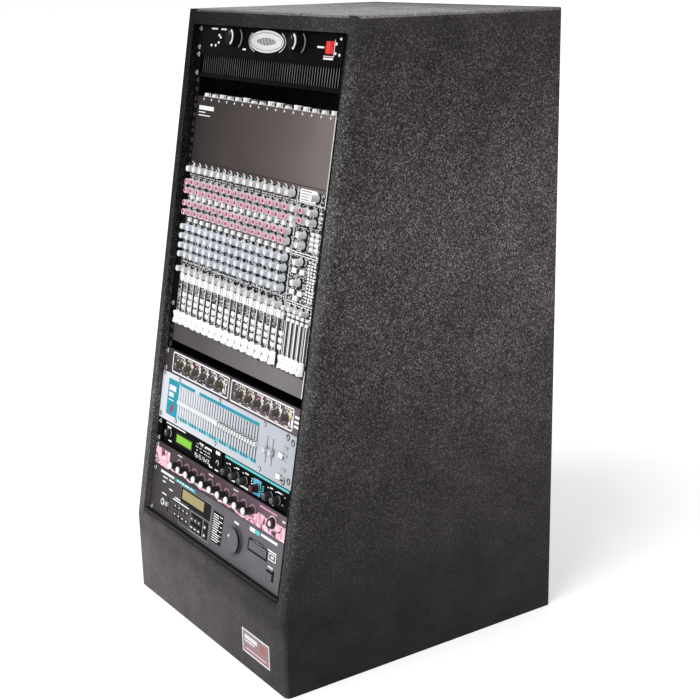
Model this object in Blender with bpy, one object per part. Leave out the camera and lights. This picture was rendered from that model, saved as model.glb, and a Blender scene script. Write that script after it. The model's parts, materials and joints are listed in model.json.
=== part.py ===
"""A carpeted studio rack: a slanted twenty unit cabinet with the gear that is bolted into it.

Lengths are in metres, +Z is up and -Y is the front. The origin lies on the floor, in the middle
of the base. The gear is built in the frame of the slanted rack face: x across, y into the rack
along the face's normal, and z up along the face from the foot of the rails.
"""
import math

import bmesh
import bpy

# Rack standard
RACK_UNIT = 0.04445
HOLE_PITCH = 0.015875
HOLE_INSET = 0.00635
HOLES_PER_UNIT = 3
HOLE_RADIUS = 0.0028
HOLE_FROM_EDGE = 0.00875
EAR_WIDTH = 0.0163
PLATE_WIDTH = 0.4826
PLATE_THICKNESS = 0.003
PLATE_SLACK = 0.0004

# Clearances and the overlaps that fuse and cut cleanly
SEAT_GAP = 0.0003
FUSE_ROOT = 0.001
CUT_REACH = 0.030

# Sides of round pieces
FINE_SIDES = 28
ROUND_SIDES = 20
DIAL_SIDES = 12
KNOB_SIDES = 8
SMALL_SIDES = 6

# Heights of the gear in rack units, from the bottom slot to the top one; the desk's own height
# gives the units that it needs
SAMPLER_UNITS = 2
MODULE_UNITS = 1
HALF_RACK_UNITS = 1
EQUALIZER_UNITS = 2
COMPRESSOR_UNITS = 1
EMPTY_UNITS = 1
AMP_UNITS = 2

# Cabinet
SLANT = math.radians(10.3)
PLYWOOD = 0.021
CARPET = 0.0045
KICK_HEIGHT = 0.147
LEDGE_HEIGHT = 0.015
GEAR_RECESS = 0.011
BASE_DEPTH = 0.566
SIDE_CLEARANCE = 0.0017
TOP_CLEARANCE = 0.0015
EDGE_ROUND = 0.009
EDGE_STEPS = 3

# Rack rails
RAIL_THICKNESS = 0.002
RAIL_DEPTH = 0.030

# Plain name plate on the kick panel
BADGE_WIDTH = 0.090
BADGE_HEIGHT = 0.044
BADGE_THICKNESS = 0.0012
BADGE_SINK = 0.0002
BADGE_RIGHT_MARGIN = 0.0265
BADGE_FOOT = 0.0285

# Gear cases behind the faceplates
CASE_SIDE_ROOM = 0.008
CASE_SLACK = 0.0015
CASE_SHEET = 0.0015
AMP_CASE_DEPTH = 0.330
COMPRESSOR_CASE_DEPTH = 0.200
EQUALIZER_CASE_DEPTH = 0.190
MODULE_CASE_DEPTH = 0.210
SAMPLER_CASE_DEPTH = 0.285

# Knobs and their shafts
SHAFT_RADIUS = 0.003
SHAFT_CLEARANCE = 0.0004
SHAFT_REACH = 0.010
KNOB_TAPER = 0.84

# Power amplifier
AMP_BODY_THICKNESS = 0.010
AMP_BEZEL_RAISE = 0.0015
AMP_BEZEL_FOOT = 0.042
AMP_BEZEL_TOP_MARGIN = 0.0034
AMP_BEZEL_ROUND = 0.004
FIN_COUNT = 60
FIN_THICKNESS = 0.0036
FIN_FOOT = 0.0065
FIN_HEIGHT = 0.0315
FIN_BACKING = 0.002
FIN_DROP = 0.0045
FIN_SIDE_WALL = 0.0012
OVAL_WIDTH = 0.110
OVAL_HEIGHT = 0.036
OVAL_THICKNESS = 0.0015
OVAL_DROP = 0.002
AMP_CONTROL_DROP = 0.0189
AMP_KNOB_SPREAD = 0.199
AMP_KNOB_MIDDLE = 0.004
AMP_KNOB_RADIUS = 0.0165
AMP_KNOB_TIP_RADIUS = 0.0150
AMP_KNOB_LENGTH = 0.015
ROCKER_INSET = 0.040
ROCKER_DROP = 0.0222
ROCKER_WIDTH = 0.0272
ROCKER_HEIGHT = 0.0195
ROCKER_CLEARANCE = 0.0006
ROCKER_PIVOT_DEPTH = 0.0015
ROCKER_TOP = 0.0027
ROCKER_DIP = 0.0010
ROCKER_BOTTOM = 0.0030
ROCKER_TILT = math.radians(7)

# Mixing desk
MIXER_HEIGHT = 0.440
MIXER_CONTROL_HEIGHT = 0.3265
MIXER_LIFT = HOLE_PITCH
MIXER_FACE = 0.002
MIXER_SHEET = 0.002
MIXER_CASE_DEPTH = 0.086
MIXER_EAR_SHEET = 0.0015
MIXER_EAR_FOOT = 0.045
MIXER_EAR_HEIGHT = 0.253
MIXER_EAR_DEPTH = 0.060
MIXER_EAR_PLATE = 0.0025
POD_DEPTH = 0.060
JACK_COUNT = 16
JACK_SIDE_MARGIN = 0.0189
JACK_RADIUS = 0.0068
JACK_LENGTH = 0.006
JACK_DEPTH = 0.012
CHANNELS = 16
MIXER_MARGIN = 0.0047
MASTER_WIDTH = 0.0818
WINDOW_MARGIN = 0.0012
BANK_MARGIN = 0.0078
KNOB_RADIUS = 0.0060
KNOB_LENGTH = 0.0155
MASTER_COLUMN = 0.0350
MASTER_COLUMN_PITCH = 0.0242
MASTER_SMALL_KNOBS = 4
MASTER_SMALL_FIRST = 0.0165
MASTER_SMALL_PITCH = 0.0180
MASTER_SMALL_KNOB_RADIUS = 0.0045

# Rows of desk knobs, as drops below the top of the control panel
TRIM_DROPS = (0.0142,)
UPPER_AUX_DROPS = (0.0370, 0.0526)
LOWER_AUX_DROPS = (0.0746, 0.0906)
EQ_AND_PAN_DROPS = (0.1171, 0.1331, 0.1500, 0.1660, 0.1925)
MASTER_LOW_DROPS = (0.1171, 0.1500)
MASTER_SMALL_DROP = 0.1930

# Mixing desk faders
FADER_LABEL_BAND = 0.0171
FADER_REST = 0.046
FADER_CAP_LENGTH = 0.021
FADER_CAP_LIFT = 0.0030
FADER_CAP_HEIGHT = 0.0085
FADER_CAP_DIP = 0.0025
FADER_CAP_CHAMFER = 0.0012
FADER_STEM_THICKNESS = 0.0014
FADER_STEM_LENGTH = 0.005
FADER_STEM_REACH = 0.012
FADER_SLOT_CLEARANCE = 0.0006
CHANNEL_CAP_WIDTH = 0.012
GROUP_CAP_WIDTH = 0.009
MAIN_CAP_WIDTH = 0.010
GROUP_FADERS = 4
GROUP_FIRST = 0.0163
GROUP_PITCH = 0.0137
MAIN_INSET = 0.0066

# Compressor
COMPRESSOR_KNOBS = 6
COMPRESSOR_KNOB_PITCH = 0.0292
COMPRESSOR_SIDE_SPREAD = 0.217
COMPRESSOR_CENTRE = 0.009
COMPRESSOR_KNOB_RADIUS = 0.0065
COMPRESSOR_KNOB_LENGTH = 0.014

# Graphic equalizer
EQUALIZER_BANDS = 31
BAND_PITCH = 0.00917
BAND_FIRST = -0.1656
BAND_BANK_HEIGHT = 0.060
BAND_CAP_WIDTH = 0.0050
BAND_CAP_HEIGHT = 0.0070
BAND_CAP_LENGTH = 0.008
LEVEL_SLIDER_GAP = 0.0276
LEVEL_SLIDER_PITCH = 0.0183
LEVEL_SLIDER_CAP_WIDTH = 0.010
LEVEL_SLIDER_CAP_HEIGHT = 0.011
LEVEL_SLIDER_CAP_LENGTH = 0.010
LEVEL_SLIDER_TRAVEL = 0.020

# Two half width units in one tray
TRAY_SHEET = 0.0015
TRAY_DEPTH = 0.180
HALF_UNIT_RECESS = 0.0045
HALF_UNIT_DEPTH = 0.165
HALF_UNIT_GAP = 0.005
TONE_KNOBS_X = (0.0170, 0.0430, 0.0700, 0.1210, 0.1570, 0.1830)
TONE_KNOB_RADIUS = 0.0060
TONE_KNOB_LENGTH = 0.015
EFFECTS_KNOB_INSET = 0.0265
EFFECTS_KNOB_RADIUS = 0.0065
EFFECTS_KNOB_LENGTH = 0.007

# Knobbed sound module
MODULE_KNOBS = 10
MODULE_KNOB_FIRST = -0.1450
MODULE_KNOB_PITCH = 0.0294
MODULE_KNOB_RADIUS = 0.0062
MODULE_KNOB_LENGTH = 0.019
MODULE_DIAL_X = 0.186
MODULE_DIAL_RADIUS = 0.0095
MODULE_DIAL_LENGTH = 0.008

# Sampler
DIAL_X = 0.078
DIAL_LINE = 0.0450
DIAL_RADIUS = 0.0225
DIAL_LENGTH = 0.009
PAD_COLUMNS = 4
PAD_ROWS = 2
PAD_PITCH_X = 0.0152
PAD_PITCH_Z = 0.0155
PAD_WIDTH = 0.0115
PAD_HEIGHT = 0.0085
PAD_LENGTH = 0.0022
PAD_FIRST_X = -0.1420
PAD_FIRST_LINE = 0.0190

# Sizes worked out from the ones above
MIXER_UNITS = math.ceil(MIXER_HEIGHT / RACK_UNIT)
RACK_UNITS = (SAMPLER_UNITS + MODULE_UNITS + HALF_RACK_UNITS + EQUALIZER_UNITS
              + COMPRESSOR_UNITS + MIXER_UNITS + EMPTY_UNITS + AMP_UNITS)
RACK_HEIGHT = RACK_UNITS * RACK_UNIT
RACK_APERTURE = PLATE_WIDTH - 2 * EAR_WIDTH
CASE_WIDTH = RACK_APERTURE - 2 * CASE_SIDE_ROOM
AMP_HEIGHT = AMP_UNITS * RACK_UNIT
AMP_CONTROL_LINE = AMP_HEIGHT - AMP_CONTROL_DROP
ROCKER_X = RACK_APERTURE / 2 - ROCKER_INSET
ROCKER_LINE = AMP_HEIGHT - ROCKER_DROP
AUX_DROPS = UPPER_AUX_DROPS + LOWER_AUX_DROPS
BOARD = PLYWOOD + CARPET
INNER_WIDTH = PLATE_WIDTH + 2 * SIDE_CLEARANCE
CABINET_WIDTH = INNER_WIDTH + 2 * BOARD
FOOT_HEIGHT = KICK_HEIGHT + LEDGE_HEIGHT
CABINET_HEIGHT = FOOT_HEIGHT + RACK_HEIGHT * math.cos(SLANT) + TOP_CLEARANCE + BOARD
FRONT_Y = -BASE_DEPTH / 2
REAR_Y = BASE_DEPTH / 2
FOOT_Y = FRONT_Y + LEDGE_HEIGHT * math.tan(SLANT) + GEAR_RECESS / math.cos(SLANT)
PLATE_BACK = PLATE_THICKNESS + SEAT_GAP

# Finishes: colour, roughness and metallic value
CARPET_FINISH = ((0.075, 0.075, 0.080), 0.95, 0.0)
BLACK_METAL = ((0.020, 0.020, 0.022), 0.45, 0.6)
DARK_PANEL = ((0.070, 0.065, 0.075), 0.45, 0.3)
DESK_PANEL = ((0.160, 0.145, 0.145), 0.50, 0.2)
DESK_CASE = ((0.060, 0.055, 0.055), 0.55, 0.3)
SILVER = ((0.780, 0.780, 0.800), 0.30, 0.8)
PALE_PANEL = ((0.620, 0.650, 0.720), 0.40, 0.2)
PINK_PANEL = ((0.850, 0.380, 0.500), 0.45, 0.1)
BLACK_PLASTIC = ((0.018, 0.018, 0.020), 0.35, 0.0)
GREY_PLASTIC = ((0.420, 0.430, 0.460), 0.45, 0.0)
WHITE_PLASTIC = ((0.850, 0.850, 0.850), 0.40, 0.0)
RED_PLASTIC = ((0.850, 0.040, 0.030), 0.30, 0.0)
PINK_TIPS = ((0.800, 0.500, 0.580), 0.40, 0.0)
BLUE_GREY_PLASTIC = ((0.500, 0.550, 0.640), 0.40, 0.0)


def clear_scene():
    for item in list(bpy.data.objects):
        bpy.data.objects.remove(item, do_unlink=True)


def make_material(name, finish):
    colour, roughness, metallic = finish
    material = bpy.data.materials.new(name)
    material.use_nodes = True
    shader = material.node_tree.nodes["Principled BSDF"]
    shader.inputs["Base Color"].default_value = (*colour, 1.0)
    shader.inputs["Roughness"].default_value = roughness
    shader.inputs["Metallic"].default_value = metallic
    return material


def place(name, mesh, finish, parent=None, location=(0, 0, 0), rotation=(0, 0, 0)):
    """Put a mesh in the scene as one named piece."""
    piece = bpy.data.objects.new(name, mesh.copy())
    piece.data.name = name
    piece.data.materials.clear()
    piece.data.materials.append(make_material(name, finish))
    piece.location = location
    piece.rotation_euler = rotation
    piece.parent = parent
    bpy.context.scene.collection.objects.link(piece)
    return piece


# Mesh builders

def finished_mesh(model, name):
    bmesh.ops.recalc_face_normals(model, faces=model.faces)
    mesh = bpy.data.meshes.new(name)
    model.to_mesh(mesh)
    model.free()
    return mesh


def prism_model(outline, axis, start, end):
    """Extrude an outline of 2D points along an axis; the points are the other two coordinates."""
    across = {"x": lambda u, v, w: (w, u, v), "y": lambda u, v, w: (u, w, v), "z": lambda u, v, w: (u, v, w)}
    model = bmesh.new()
    rings = []
    for level in (start, end):
        rings.append([model.verts.new(across[axis](u, v, level)) for u, v in outline])
    model.faces.new(rings[0])
    model.faces.new(rings[1])
    for index in range(len(outline)):
        following = (index + 1) % len(outline)
        model.faces.new((rings[0][index], rings[0][following], rings[1][following], rings[1][index]))
    return model


def prism(outline, axis, start, end):
    return finished_mesh(prism_model(outline, axis, start, end), "prism")


def block_outline(low, high):
    return [(low[0], low[2]), (high[0], low[2]), (high[0], high[2]), (low[0], high[2])]


def block(low, high):
    return prism(block_outline(low, high), "y", low[1], high[1])


def rounded_block(low, high, radius, steps=3):
    """A block whose four edges along the depth are rounded."""
    model = prism_model(block_outline(low, high), "y", low[1], high[1])
    along = [edge for edge in model.edges if abs(edge.verts[0].co.y - edge.verts[1].co.y) > 0]
    bmesh.ops.bevel(model, geom=along, offset=radius, segments=steps, affect="EDGES", profile=0.5)
    return finished_mesh(model, "rounded_block")


def circle(radius, sides, centre=(0, 0)):
    turn = 2 * math.pi / sides
    return [(centre[0] + radius * math.cos(turn * (k + 0.5)), centre[1] + radius * math.sin(turn * (k + 0.5)))
            for k in range(sides)]


def ellipse(width, height, sides):
    turn = 2 * math.pi / sides
    return [(width / 2 * math.cos(turn * k), height / 2 * math.sin(turn * k)) for k in range(sides)]


def turned(profile, sides):
    """Spin a profile of (radius, y) points about the y axis; it starts and ends on the axis."""
    model = bmesh.new()
    start = model.verts.new((0, profile[0][1], 0))
    end = model.verts.new((0, profile[-1][1], 0))
    rings = [[model.verts.new((x, y, z)) for x, z in circle(radius, sides)] for radius, y in profile[1:-1]]
    for index in range(sides):
        following = (index + 1) % sides
        model.faces.new((start, rings[0][index], rings[0][following]))
        for lower, upper in zip(rings, rings[1:]):
            model.faces.new((lower[index], upper[index], upper[following], lower[following]))
        model.faces.new((end, rings[-1][following], rings[-1][index]))
    return finished_mesh(model, "turned")


def peg(centre, radius, root, tip, sides, taper=KNOB_TAPER):
    """A tapered knob along y at (x, z), from its root to its tip."""
    x, z = centre
    tip_radius = radius * taper
    model = bmesh.new()
    lower = [model.verts.new((x + u, root, z + v)) for u, v in circle(radius, sides)]
    upper = [model.verts.new((x + u, tip, z + v)) for u, v in circle(tip_radius, sides)]
    model.faces.new(lower)
    model.faces.new(upper)
    for index in range(sides):
        following = (index + 1) % sides
        model.faces.new((lower[index], lower[following], upper[following], upper[index]))
    return finished_mesh(model, "peg")


def gathered(meshes):
    """Hold several separate shells in one mesh, for use as a boolean tool."""
    model = bmesh.new()
    for mesh in meshes:
        model.from_mesh(mesh)
    result = bpy.data.meshes.new("gathered")
    model.to_mesh(result)
    model.free()
    return result


def combined(base, tool, operation):
    """The mesh of an exact boolean between two closed meshes."""
    base_object = bpy.data.objects.new("boolean_base", base)
    tool_object = bpy.data.objects.new("boolean_tool", tool)
    for item in (base_object, tool_object):
        bpy.context.scene.collection.objects.link(item)
    modifier = base_object.modifiers.new("boolean", "BOOLEAN")
    modifier.operation = operation
    modifier.solver = "EXACT"
    modifier.object = tool_object
    depsgraph = bpy.context.evaluated_depsgraph_get()
    result = bpy.data.meshes.new_from_object(base_object.evaluated_get(depsgraph))
    for item in (base_object, tool_object):
        bpy.data.objects.remove(item, do_unlink=True)
    return result


def cut(base, *tools):
    return combined(base, gathered(tools), "DIFFERENCE")


def fused(base, *tools):
    return combined(base, gathered(tools), "UNION")


# Cabinet

def front_y(height):
    """Where the plane of the cabinet's front edges lies at a height."""
    return FRONT_Y + max(0.0, height - KICK_HEIGHT) * math.tan(SLANT)


def side_panel(side):
    outline = [(FRONT_Y, 0), (FRONT_Y, KICK_HEIGHT), (front_y(CABINET_HEIGHT), CABINET_HEIGHT),
               (REAR_Y, CABINET_HEIGHT), (REAR_Y, 0)]
    inner = side * INNER_WIDTH / 2
    outer = side * CABINET_WIDTH / 2
    model = prism_model(outline, "x", inner, outer)
    rounded = []
    for edge in model.edges:
        first, second = (vert.co for vert in edge.verts)
        on_outside = abs(first.x - outer) < SEAT_GAP and abs(second.x - outer) < SEAT_GAP
        on_floor = max(first.z, second.z) < SEAT_GAP
        if on_outside and not on_floor:
            rounded.append(edge)
    bmesh.ops.bevel(model, geom=rounded, offset=EDGE_ROUND, segments=EDGE_STEPS, affect="EDGES",
                    profile=0.5, clamp_overlap=True)
    return finished_mesh(model, "side_panel")


def rounded_corner(before, corner, after, steps):
    """Points of a smooth curve that takes the place of a corner."""
    points = []
    for step in range(steps + 1):
        t = step / steps
        points.append(tuple((1 - t) ** 2 * a + 2 * t * (1 - t) * b + t ** 2 * c
                            for a, b, c in zip(before, corner, after)))
    return points


def top_panel():
    underside = CABINET_HEIGHT - BOARD
    front = front_y(CABINET_HEIGHT)
    nose = rounded_corner((front - EDGE_ROUND * math.tan(SLANT), CABINET_HEIGHT - EDGE_ROUND),
                          (front, CABINET_HEIGHT), (front + EDGE_ROUND, CABINET_HEIGHT), EDGE_STEPS)
    outline = [(front_y(underside), underside), *nose, (REAR_Y, CABINET_HEIGHT), (REAR_Y, underside)]
    half = INNER_WIDTH / 2 - SEAT_GAP
    return prism(outline, "x", -half, half)


def base_panel():
    half = INNER_WIDTH / 2 - SEAT_GAP
    return block((-half, FRONT_Y + BOARD + SEAT_GAP, 0), (half, REAR_Y, BOARD))


def kick_panel():
    """The board below the gear; its top follows the rack face and leaves room for the lowest case."""
    ledge_front = (FOOT_Y - GEAR_RECESS * math.cos(SLANT), FOOT_HEIGHT + GEAR_RECESS * math.sin(SLANT))
    back_y = FRONT_Y + BOARD
    ledge_back = (back_y, ledge_front[1] - (back_y - ledge_front[0]) * math.tan(SLANT))
    outline = [(FRONT_Y, 0), (FRONT_Y, KICK_HEIGHT), ledge_front, ledge_back, (back_y, 0)]
    half = INNER_WIDTH / 2 - SEAT_GAP
    board = prism(outline, "x", -half, half)
    left, right = badge_span()
    pocket = block((left - SEAT_GAP, FRONT_Y - CUT_REACH, BADGE_FOOT - SEAT_GAP),
                   (right + SEAT_GAP, FRONT_Y + BADGE_SINK + BADGE_THICKNESS + SEAT_GAP,
                    BADGE_FOOT + BADGE_HEIGHT + SEAT_GAP))
    return cut(board, pocket)


def badge_span():
    right = INNER_WIDTH / 2 - BADGE_RIGHT_MARGIN
    return right - BADGE_WIDTH, right


def badge_plate():
    left, right = badge_span()
    front = FRONT_Y + BADGE_SINK
    return block((left, front, BADGE_FOOT), (right, front + BADGE_THICKNESS, BADGE_FOOT + BADGE_HEIGHT))


def hole_heights():
    return [unit * RACK_UNIT + HOLE_INSET + step * HOLE_PITCH
            for unit in range(RACK_UNITS) for step in range(HOLES_PER_UNIT)]


def rack_rail(side):
    """An angle rail: a drilled flange across the front and a web along the side panel."""
    wall = INNER_WIDTH / 2 - SEAT_GAP
    edge = RACK_APERTURE / 2
    flange_back = PLATE_BACK + RAIL_THICKNESS
    outline = [(edge, PLATE_BACK), (wall, PLATE_BACK), (wall, PLATE_BACK + RAIL_DEPTH),
               (wall - RAIL_THICKNESS, PLATE_BACK + RAIL_DEPTH), (wall - RAIL_THICKNESS, flange_back),
               (edge, flange_back)]
    rail = prism([(side * x, y) for x, y in outline], "z", SEAT_GAP, RACK_HEIGHT)
    hole_x = side * (PLATE_WIDTH / 2 - HOLE_FROM_EDGE)
    holes = [prism(circle(HOLE_RADIUS, SMALL_SIDES, (hole_x, height)), "y", 0, 2 * flange_back)
             for height in hole_heights()]
    return cut(rail, *holes)


def build_cabinet(rack):
    place("left_side_panel", side_panel(-1), CARPET_FINISH)
    place("right_side_panel", side_panel(1), CARPET_FINISH)
    place("top_panel", top_panel(), CARPET_FINISH)
    place("base_panel", base_panel(), CARPET_FINISH)
    place("kick_panel", kick_panel(), CARPET_FINISH)
    place("badge_plate", badge_plate(), SILVER)
    place("left_rack_rail", rack_rail(-1), BLACK_METAL, rack)
    place("right_rack_rail", rack_rail(1), BLACK_METAL, rack)


# Plates and cases that all the gear uses

def faceplate(units):
    half = PLATE_WIDTH / 2
    return block((-half, 0, PLATE_SLACK), (half, PLATE_THICKNESS, units * RACK_UNIT - PLATE_SLACK))


def shell(low, high, sheet, open_side):
    """A sheet metal box without its front or its floor, which another piece closes."""
    hollow_low = [value + sheet for value in low]
    hollow_high = [value - sheet for value in high]
    open_axis = {"front": 1, "floor": 2}[open_side]
    hollow_low[open_axis] = low[open_axis] - CUT_REACH
    return cut(block(low, high), block(hollow_low, hollow_high))


def gear_case(units, depth, front=PLATE_BACK):
    half = CASE_WIDTH / 2
    low = (-half, front, CASE_SLACK)
    high = (half, front + depth, units * RACK_UNIT - CASE_SLACK)
    return shell(low, high, CASE_SHEET, "front")


def shaft_hole(x, z):
    """A bore through a front panel with running room for a knob's shaft."""
    return prism(circle(SHAFT_RADIUS + SHAFT_CLEARANCE, DIAL_SIDES, (x, z)), "y", -CUT_REACH, CUT_REACH)


def knob_on_shaft(radius, tip_radius, length, sides):
    """A knob with its shaft; y = 0 is the face that it sits on."""
    back = -SEAT_GAP
    profile = [(0, SHAFT_REACH), (SHAFT_RADIUS, SHAFT_REACH), (SHAFT_RADIUS, back), (radius, back),
               (tip_radius, back - length), (0, back - length)]
    return turned(profile, sides)


# Power amplifier

def amp_knob_x(side):
    return AMP_KNOB_MIDDLE + side * AMP_KNOB_SPREAD / 2


def amp_front_panel():
    """Ears in front of the rails, a thick body between them and a slightly raised control bezel."""
    half = PLATE_WIDTH / 2
    body = RACK_APERTURE / 2 - SEAT_GAP
    outline = [(-half, 0), (half, 0), (half, PLATE_THICKNESS), (body, PLATE_THICKNESS),
               (body, AMP_BODY_THICKNESS), (-body, AMP_BODY_THICKNESS), (-body, PLATE_THICKNESS),
               (-half, PLATE_THICKNESS)]
    panel = prism(outline, "z", PLATE_SLACK, AMP_HEIGHT - PLATE_SLACK)
    bezel = rounded_block((-body, -AMP_BEZEL_RAISE, AMP_BEZEL_FOOT),
                          (body, PLATE_THICKNESS, AMP_HEIGHT - AMP_BEZEL_TOP_MARGIN), AMP_BEZEL_ROUND)
    window_half = body - FIN_SIDE_WALL
    window = block((-window_half, -CUT_REACH, FIN_FOOT), (window_half, CUT_REACH, FIN_FOOT + FIN_HEIGHT))
    rocker_half = ROCKER_WIDTH / 2 + ROCKER_CLEARANCE
    rocker_rise = ROCKER_HEIGHT / 2 + ROCKER_CLEARANCE
    rocker_hole = block((ROCKER_X - rocker_half, -CUT_REACH, ROCKER_LINE - rocker_rise),
                        (ROCKER_X + rocker_half, CUT_REACH, ROCKER_LINE + rocker_rise))
    shaft_holes = [shaft_hole(amp_knob_x(side), AMP_CONTROL_LINE) for side in (-1, 1)]
    return cut(fused(panel, bezel), window, rocker_hole, *shaft_holes)


def amp_fin_grille():
    """A comb of upright fins on one backing plate."""
    half = RACK_APERTURE / 2 - SEAT_GAP - FIN_SIDE_WALL - SEAT_GAP
    pitch = 2 * half / FIN_COUNT
    floor = AMP_BODY_THICKNESS - FIN_BACKING
    outline = [(half, AMP_BODY_THICKNESS), (-half, AMP_BODY_THICKNESS)]
    for index in range(FIN_COUNT):
        centre = -half + (index + 0.5) * pitch
        outline += [(centre - FIN_THICKNESS / 2, floor), (centre - FIN_THICKNESS / 2, FIN_DROP),
                    (centre + FIN_THICKNESS / 2, FIN_DROP), (centre + FIN_THICKNESS / 2, floor)]
    outline.insert(2, (-half, floor))
    outline.append((half, floor))
    return prism(outline, "z", FIN_FOOT + SEAT_GAP, FIN_FOOT + FIN_HEIGHT - SEAT_GAP)


def power_rocker():
    """A dished rocker about the z axis, drawn level."""
    half = ROCKER_WIDTH / 2
    outline = [(-half, ROCKER_BOTTOM), (-half, -ROCKER_TOP), (0, -ROCKER_DIP), (half, -ROCKER_TOP),
               (half, ROCKER_BOTTOM)]
    return prism(outline, "z", -ROCKER_HEIGHT / 2, ROCKER_HEIGHT / 2)


def build_amp(rack, foot):
    case = gear_case(AMP_UNITS, AMP_CASE_DEPTH, AMP_BODY_THICKNESS + SEAT_GAP)
    place("amp_case", case, BLACK_METAL, rack, (0, 0, foot))
    place("amp_front_panel", amp_front_panel(), BLACK_METAL, rack, (0, 0, foot))
    place("amp_fin_grille", amp_fin_grille(), BLACK_METAL, rack, (0, 0, foot))
    oval_back = -AMP_BEZEL_RAISE - SEAT_GAP
    oval = prism(ellipse(OVAL_WIDTH, OVAL_HEIGHT, FINE_SIDES), "y", oval_back - OVAL_THICKNESS, oval_back)
    place("amp_oval_plate", oval, SILVER, rack, (0, 0, foot + AMP_CONTROL_LINE - OVAL_DROP))
    knob = knob_on_shaft(AMP_KNOB_RADIUS, AMP_KNOB_TIP_RADIUS, AMP_KNOB_LENGTH, ROUND_SIDES)
    for name, side in (("amp_left_level_knob", -1), ("amp_right_level_knob", 1)):
        seat = (amp_knob_x(side), -AMP_BEZEL_RAISE, foot + AMP_CONTROL_LINE)
        place(name, knob, BLACK_PLASTIC, rack, seat)
    place("amp_power_rocker", power_rocker(), RED_PLASTIC, rack,
          (ROCKER_X, ROCKER_PIVOT_DEPTH, foot + ROCKER_LINE), (0, 0, -ROCKER_TILT))


# Mixing desk

def mixer_half_width():
    """Half the desk's width: its ears' side flanges still pass between the rails."""
    return RACK_APERTURE / 2 - MIXER_EAR_SHEET - 2 * SEAT_GAP


def channel_pitch():
    return (2 * mixer_half_width() - MIXER_MARGIN - MASTER_WIDTH) / CHANNELS


def channel_x(index):
    return -mixer_half_width() + MIXER_MARGIN + (index + 0.5) * channel_pitch()


def master_left():
    return mixer_half_width() - MASTER_WIDTH


def knob_window(left, right, drops):
    """The low and high corners of the opening in the control panel for a bank of knobs."""
    return ((left + WINDOW_MARGIN, MIXER_CONTROL_HEIGHT - max(drops) - BANK_MARGIN),
            (right - WINDOW_MARGIN, MIXER_CONTROL_HEIGHT - min(drops) + BANK_MARGIN))


def channel_window(drops):
    return knob_window(-mixer_half_width() + MIXER_MARGIN, master_left(), drops)


def master_window():
    return knob_window(master_left(), mixer_half_width(), TRIM_DROPS + AUX_DROPS + EQ_AND_PAN_DROPS)


def fader_travel():
    """The faders run from their rest up to the label band under the lowest row of knobs."""
    band_foot = channel_window(EQ_AND_PAN_DROPS)[0][1] - FADER_LABEL_BAND
    return band_foot - FADER_STEM_LENGTH / 2 - FADER_SLOT_CLEARANCE - FADER_REST


def fader_places():
    """Name, x and cap width of every fader of the desk."""
    places = []
    for index in range(CHANNELS):
        name = "mixer_channel_fader_%02d" % (index + 1)
        places.append((name, channel_x(index), CHANNEL_CAP_WIDTH))
    for index in range(GROUP_FADERS):
        name = "mixer_group_fader_%d" % (index + 1)
        places.append((name, master_left() + GROUP_FIRST + index * GROUP_PITCH, GROUP_CAP_WIDTH))
    places.append(("mixer_main_fader", mixer_half_width() - MAIN_INSET, MAIN_CAP_WIDTH))
    return places


def slot_block(x, rest, travel):
    half = FADER_STEM_THICKNESS / 2 + FADER_SLOT_CLEARANCE
    reach = FADER_STEM_LENGTH / 2 + FADER_SLOT_CLEARANCE
    return block((x - half, -CUT_REACH, rest - reach), (x + half, CUT_REACH, rest + travel + reach))


def panel_height():
    """The controls and the case end below the connector pod."""
    return MIXER_CONTROL_HEIGHT - SEAT_GAP


def mixer_control_panel():
    half = mixer_half_width()
    panel = block((-half, MIXER_FACE, 0), (half, MIXER_FACE + MIXER_SHEET, panel_height()))
    windows = [channel_window(drops) for drops in (TRIM_DROPS, AUX_DROPS, EQ_AND_PAN_DROPS)]
    windows.append(master_window())
    openings = [block((low[0], -CUT_REACH, low[1]), (high[0], CUT_REACH, high[1])) for low, high in windows]
    slots = [slot_block(x, FADER_REST, fader_travel()) for _, x, _ in fader_places()]
    return cut(panel, *openings, *slots)


def knob_bank(window, knobs):
    """A plate that fills its window in the panel, with its knobs standing on it."""
    low, high = window
    plate = block((low[0] + SEAT_GAP, MIXER_FACE, low[1] + SEAT_GAP),
                  (high[0] - SEAT_GAP, MIXER_FACE + MIXER_SHEET, high[1] - SEAT_GAP))
    pegs = [peg((x, MIXER_CONTROL_HEIGHT - drop), radius, MIXER_FACE + FUSE_ROOT, MIXER_FACE - KNOB_LENGTH,
                SMALL_SIDES) for x, drop, radius in knobs]
    return fused(plate, *pegs)


def channel_knobs(drops):
    return [(channel_x(index), drop, KNOB_RADIUS) for drop in drops for index in range(CHANNELS)]


def master_knobs():
    """Three columns beside the upper aux rows, one column below and a row of small knobs."""
    column = master_left() + MASTER_COLUMN
    knobs = []
    for drop in UPPER_AUX_DROPS:
        knobs += [(column + step * MASTER_COLUMN_PITCH, drop, KNOB_RADIUS) for step in (-1, 0, 1)]
    for drop in LOWER_AUX_DROPS + MASTER_LOW_DROPS:
        knobs.append((column, drop, KNOB_RADIUS))
    knobs.append((column + MASTER_COLUMN_PITCH, TRIM_DROPS[0], KNOB_RADIUS))
    for step in range(MASTER_SMALL_KNOBS):
        x = master_left() + MASTER_SMALL_FIRST + step * MASTER_SMALL_PITCH
        knobs.append((x, MASTER_SMALL_DROP, MASTER_SMALL_KNOB_RADIUS))
    return knobs


def mixer_case():
    """The shell behind the control panel, open at the front for the faders."""
    half = mixer_half_width()
    front = MIXER_FACE + MIXER_SHEET + SEAT_GAP
    return shell((-half, front, 0), (half, front + MIXER_CASE_DEPTH, panel_height()), MIXER_SHEET, "front")


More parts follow.
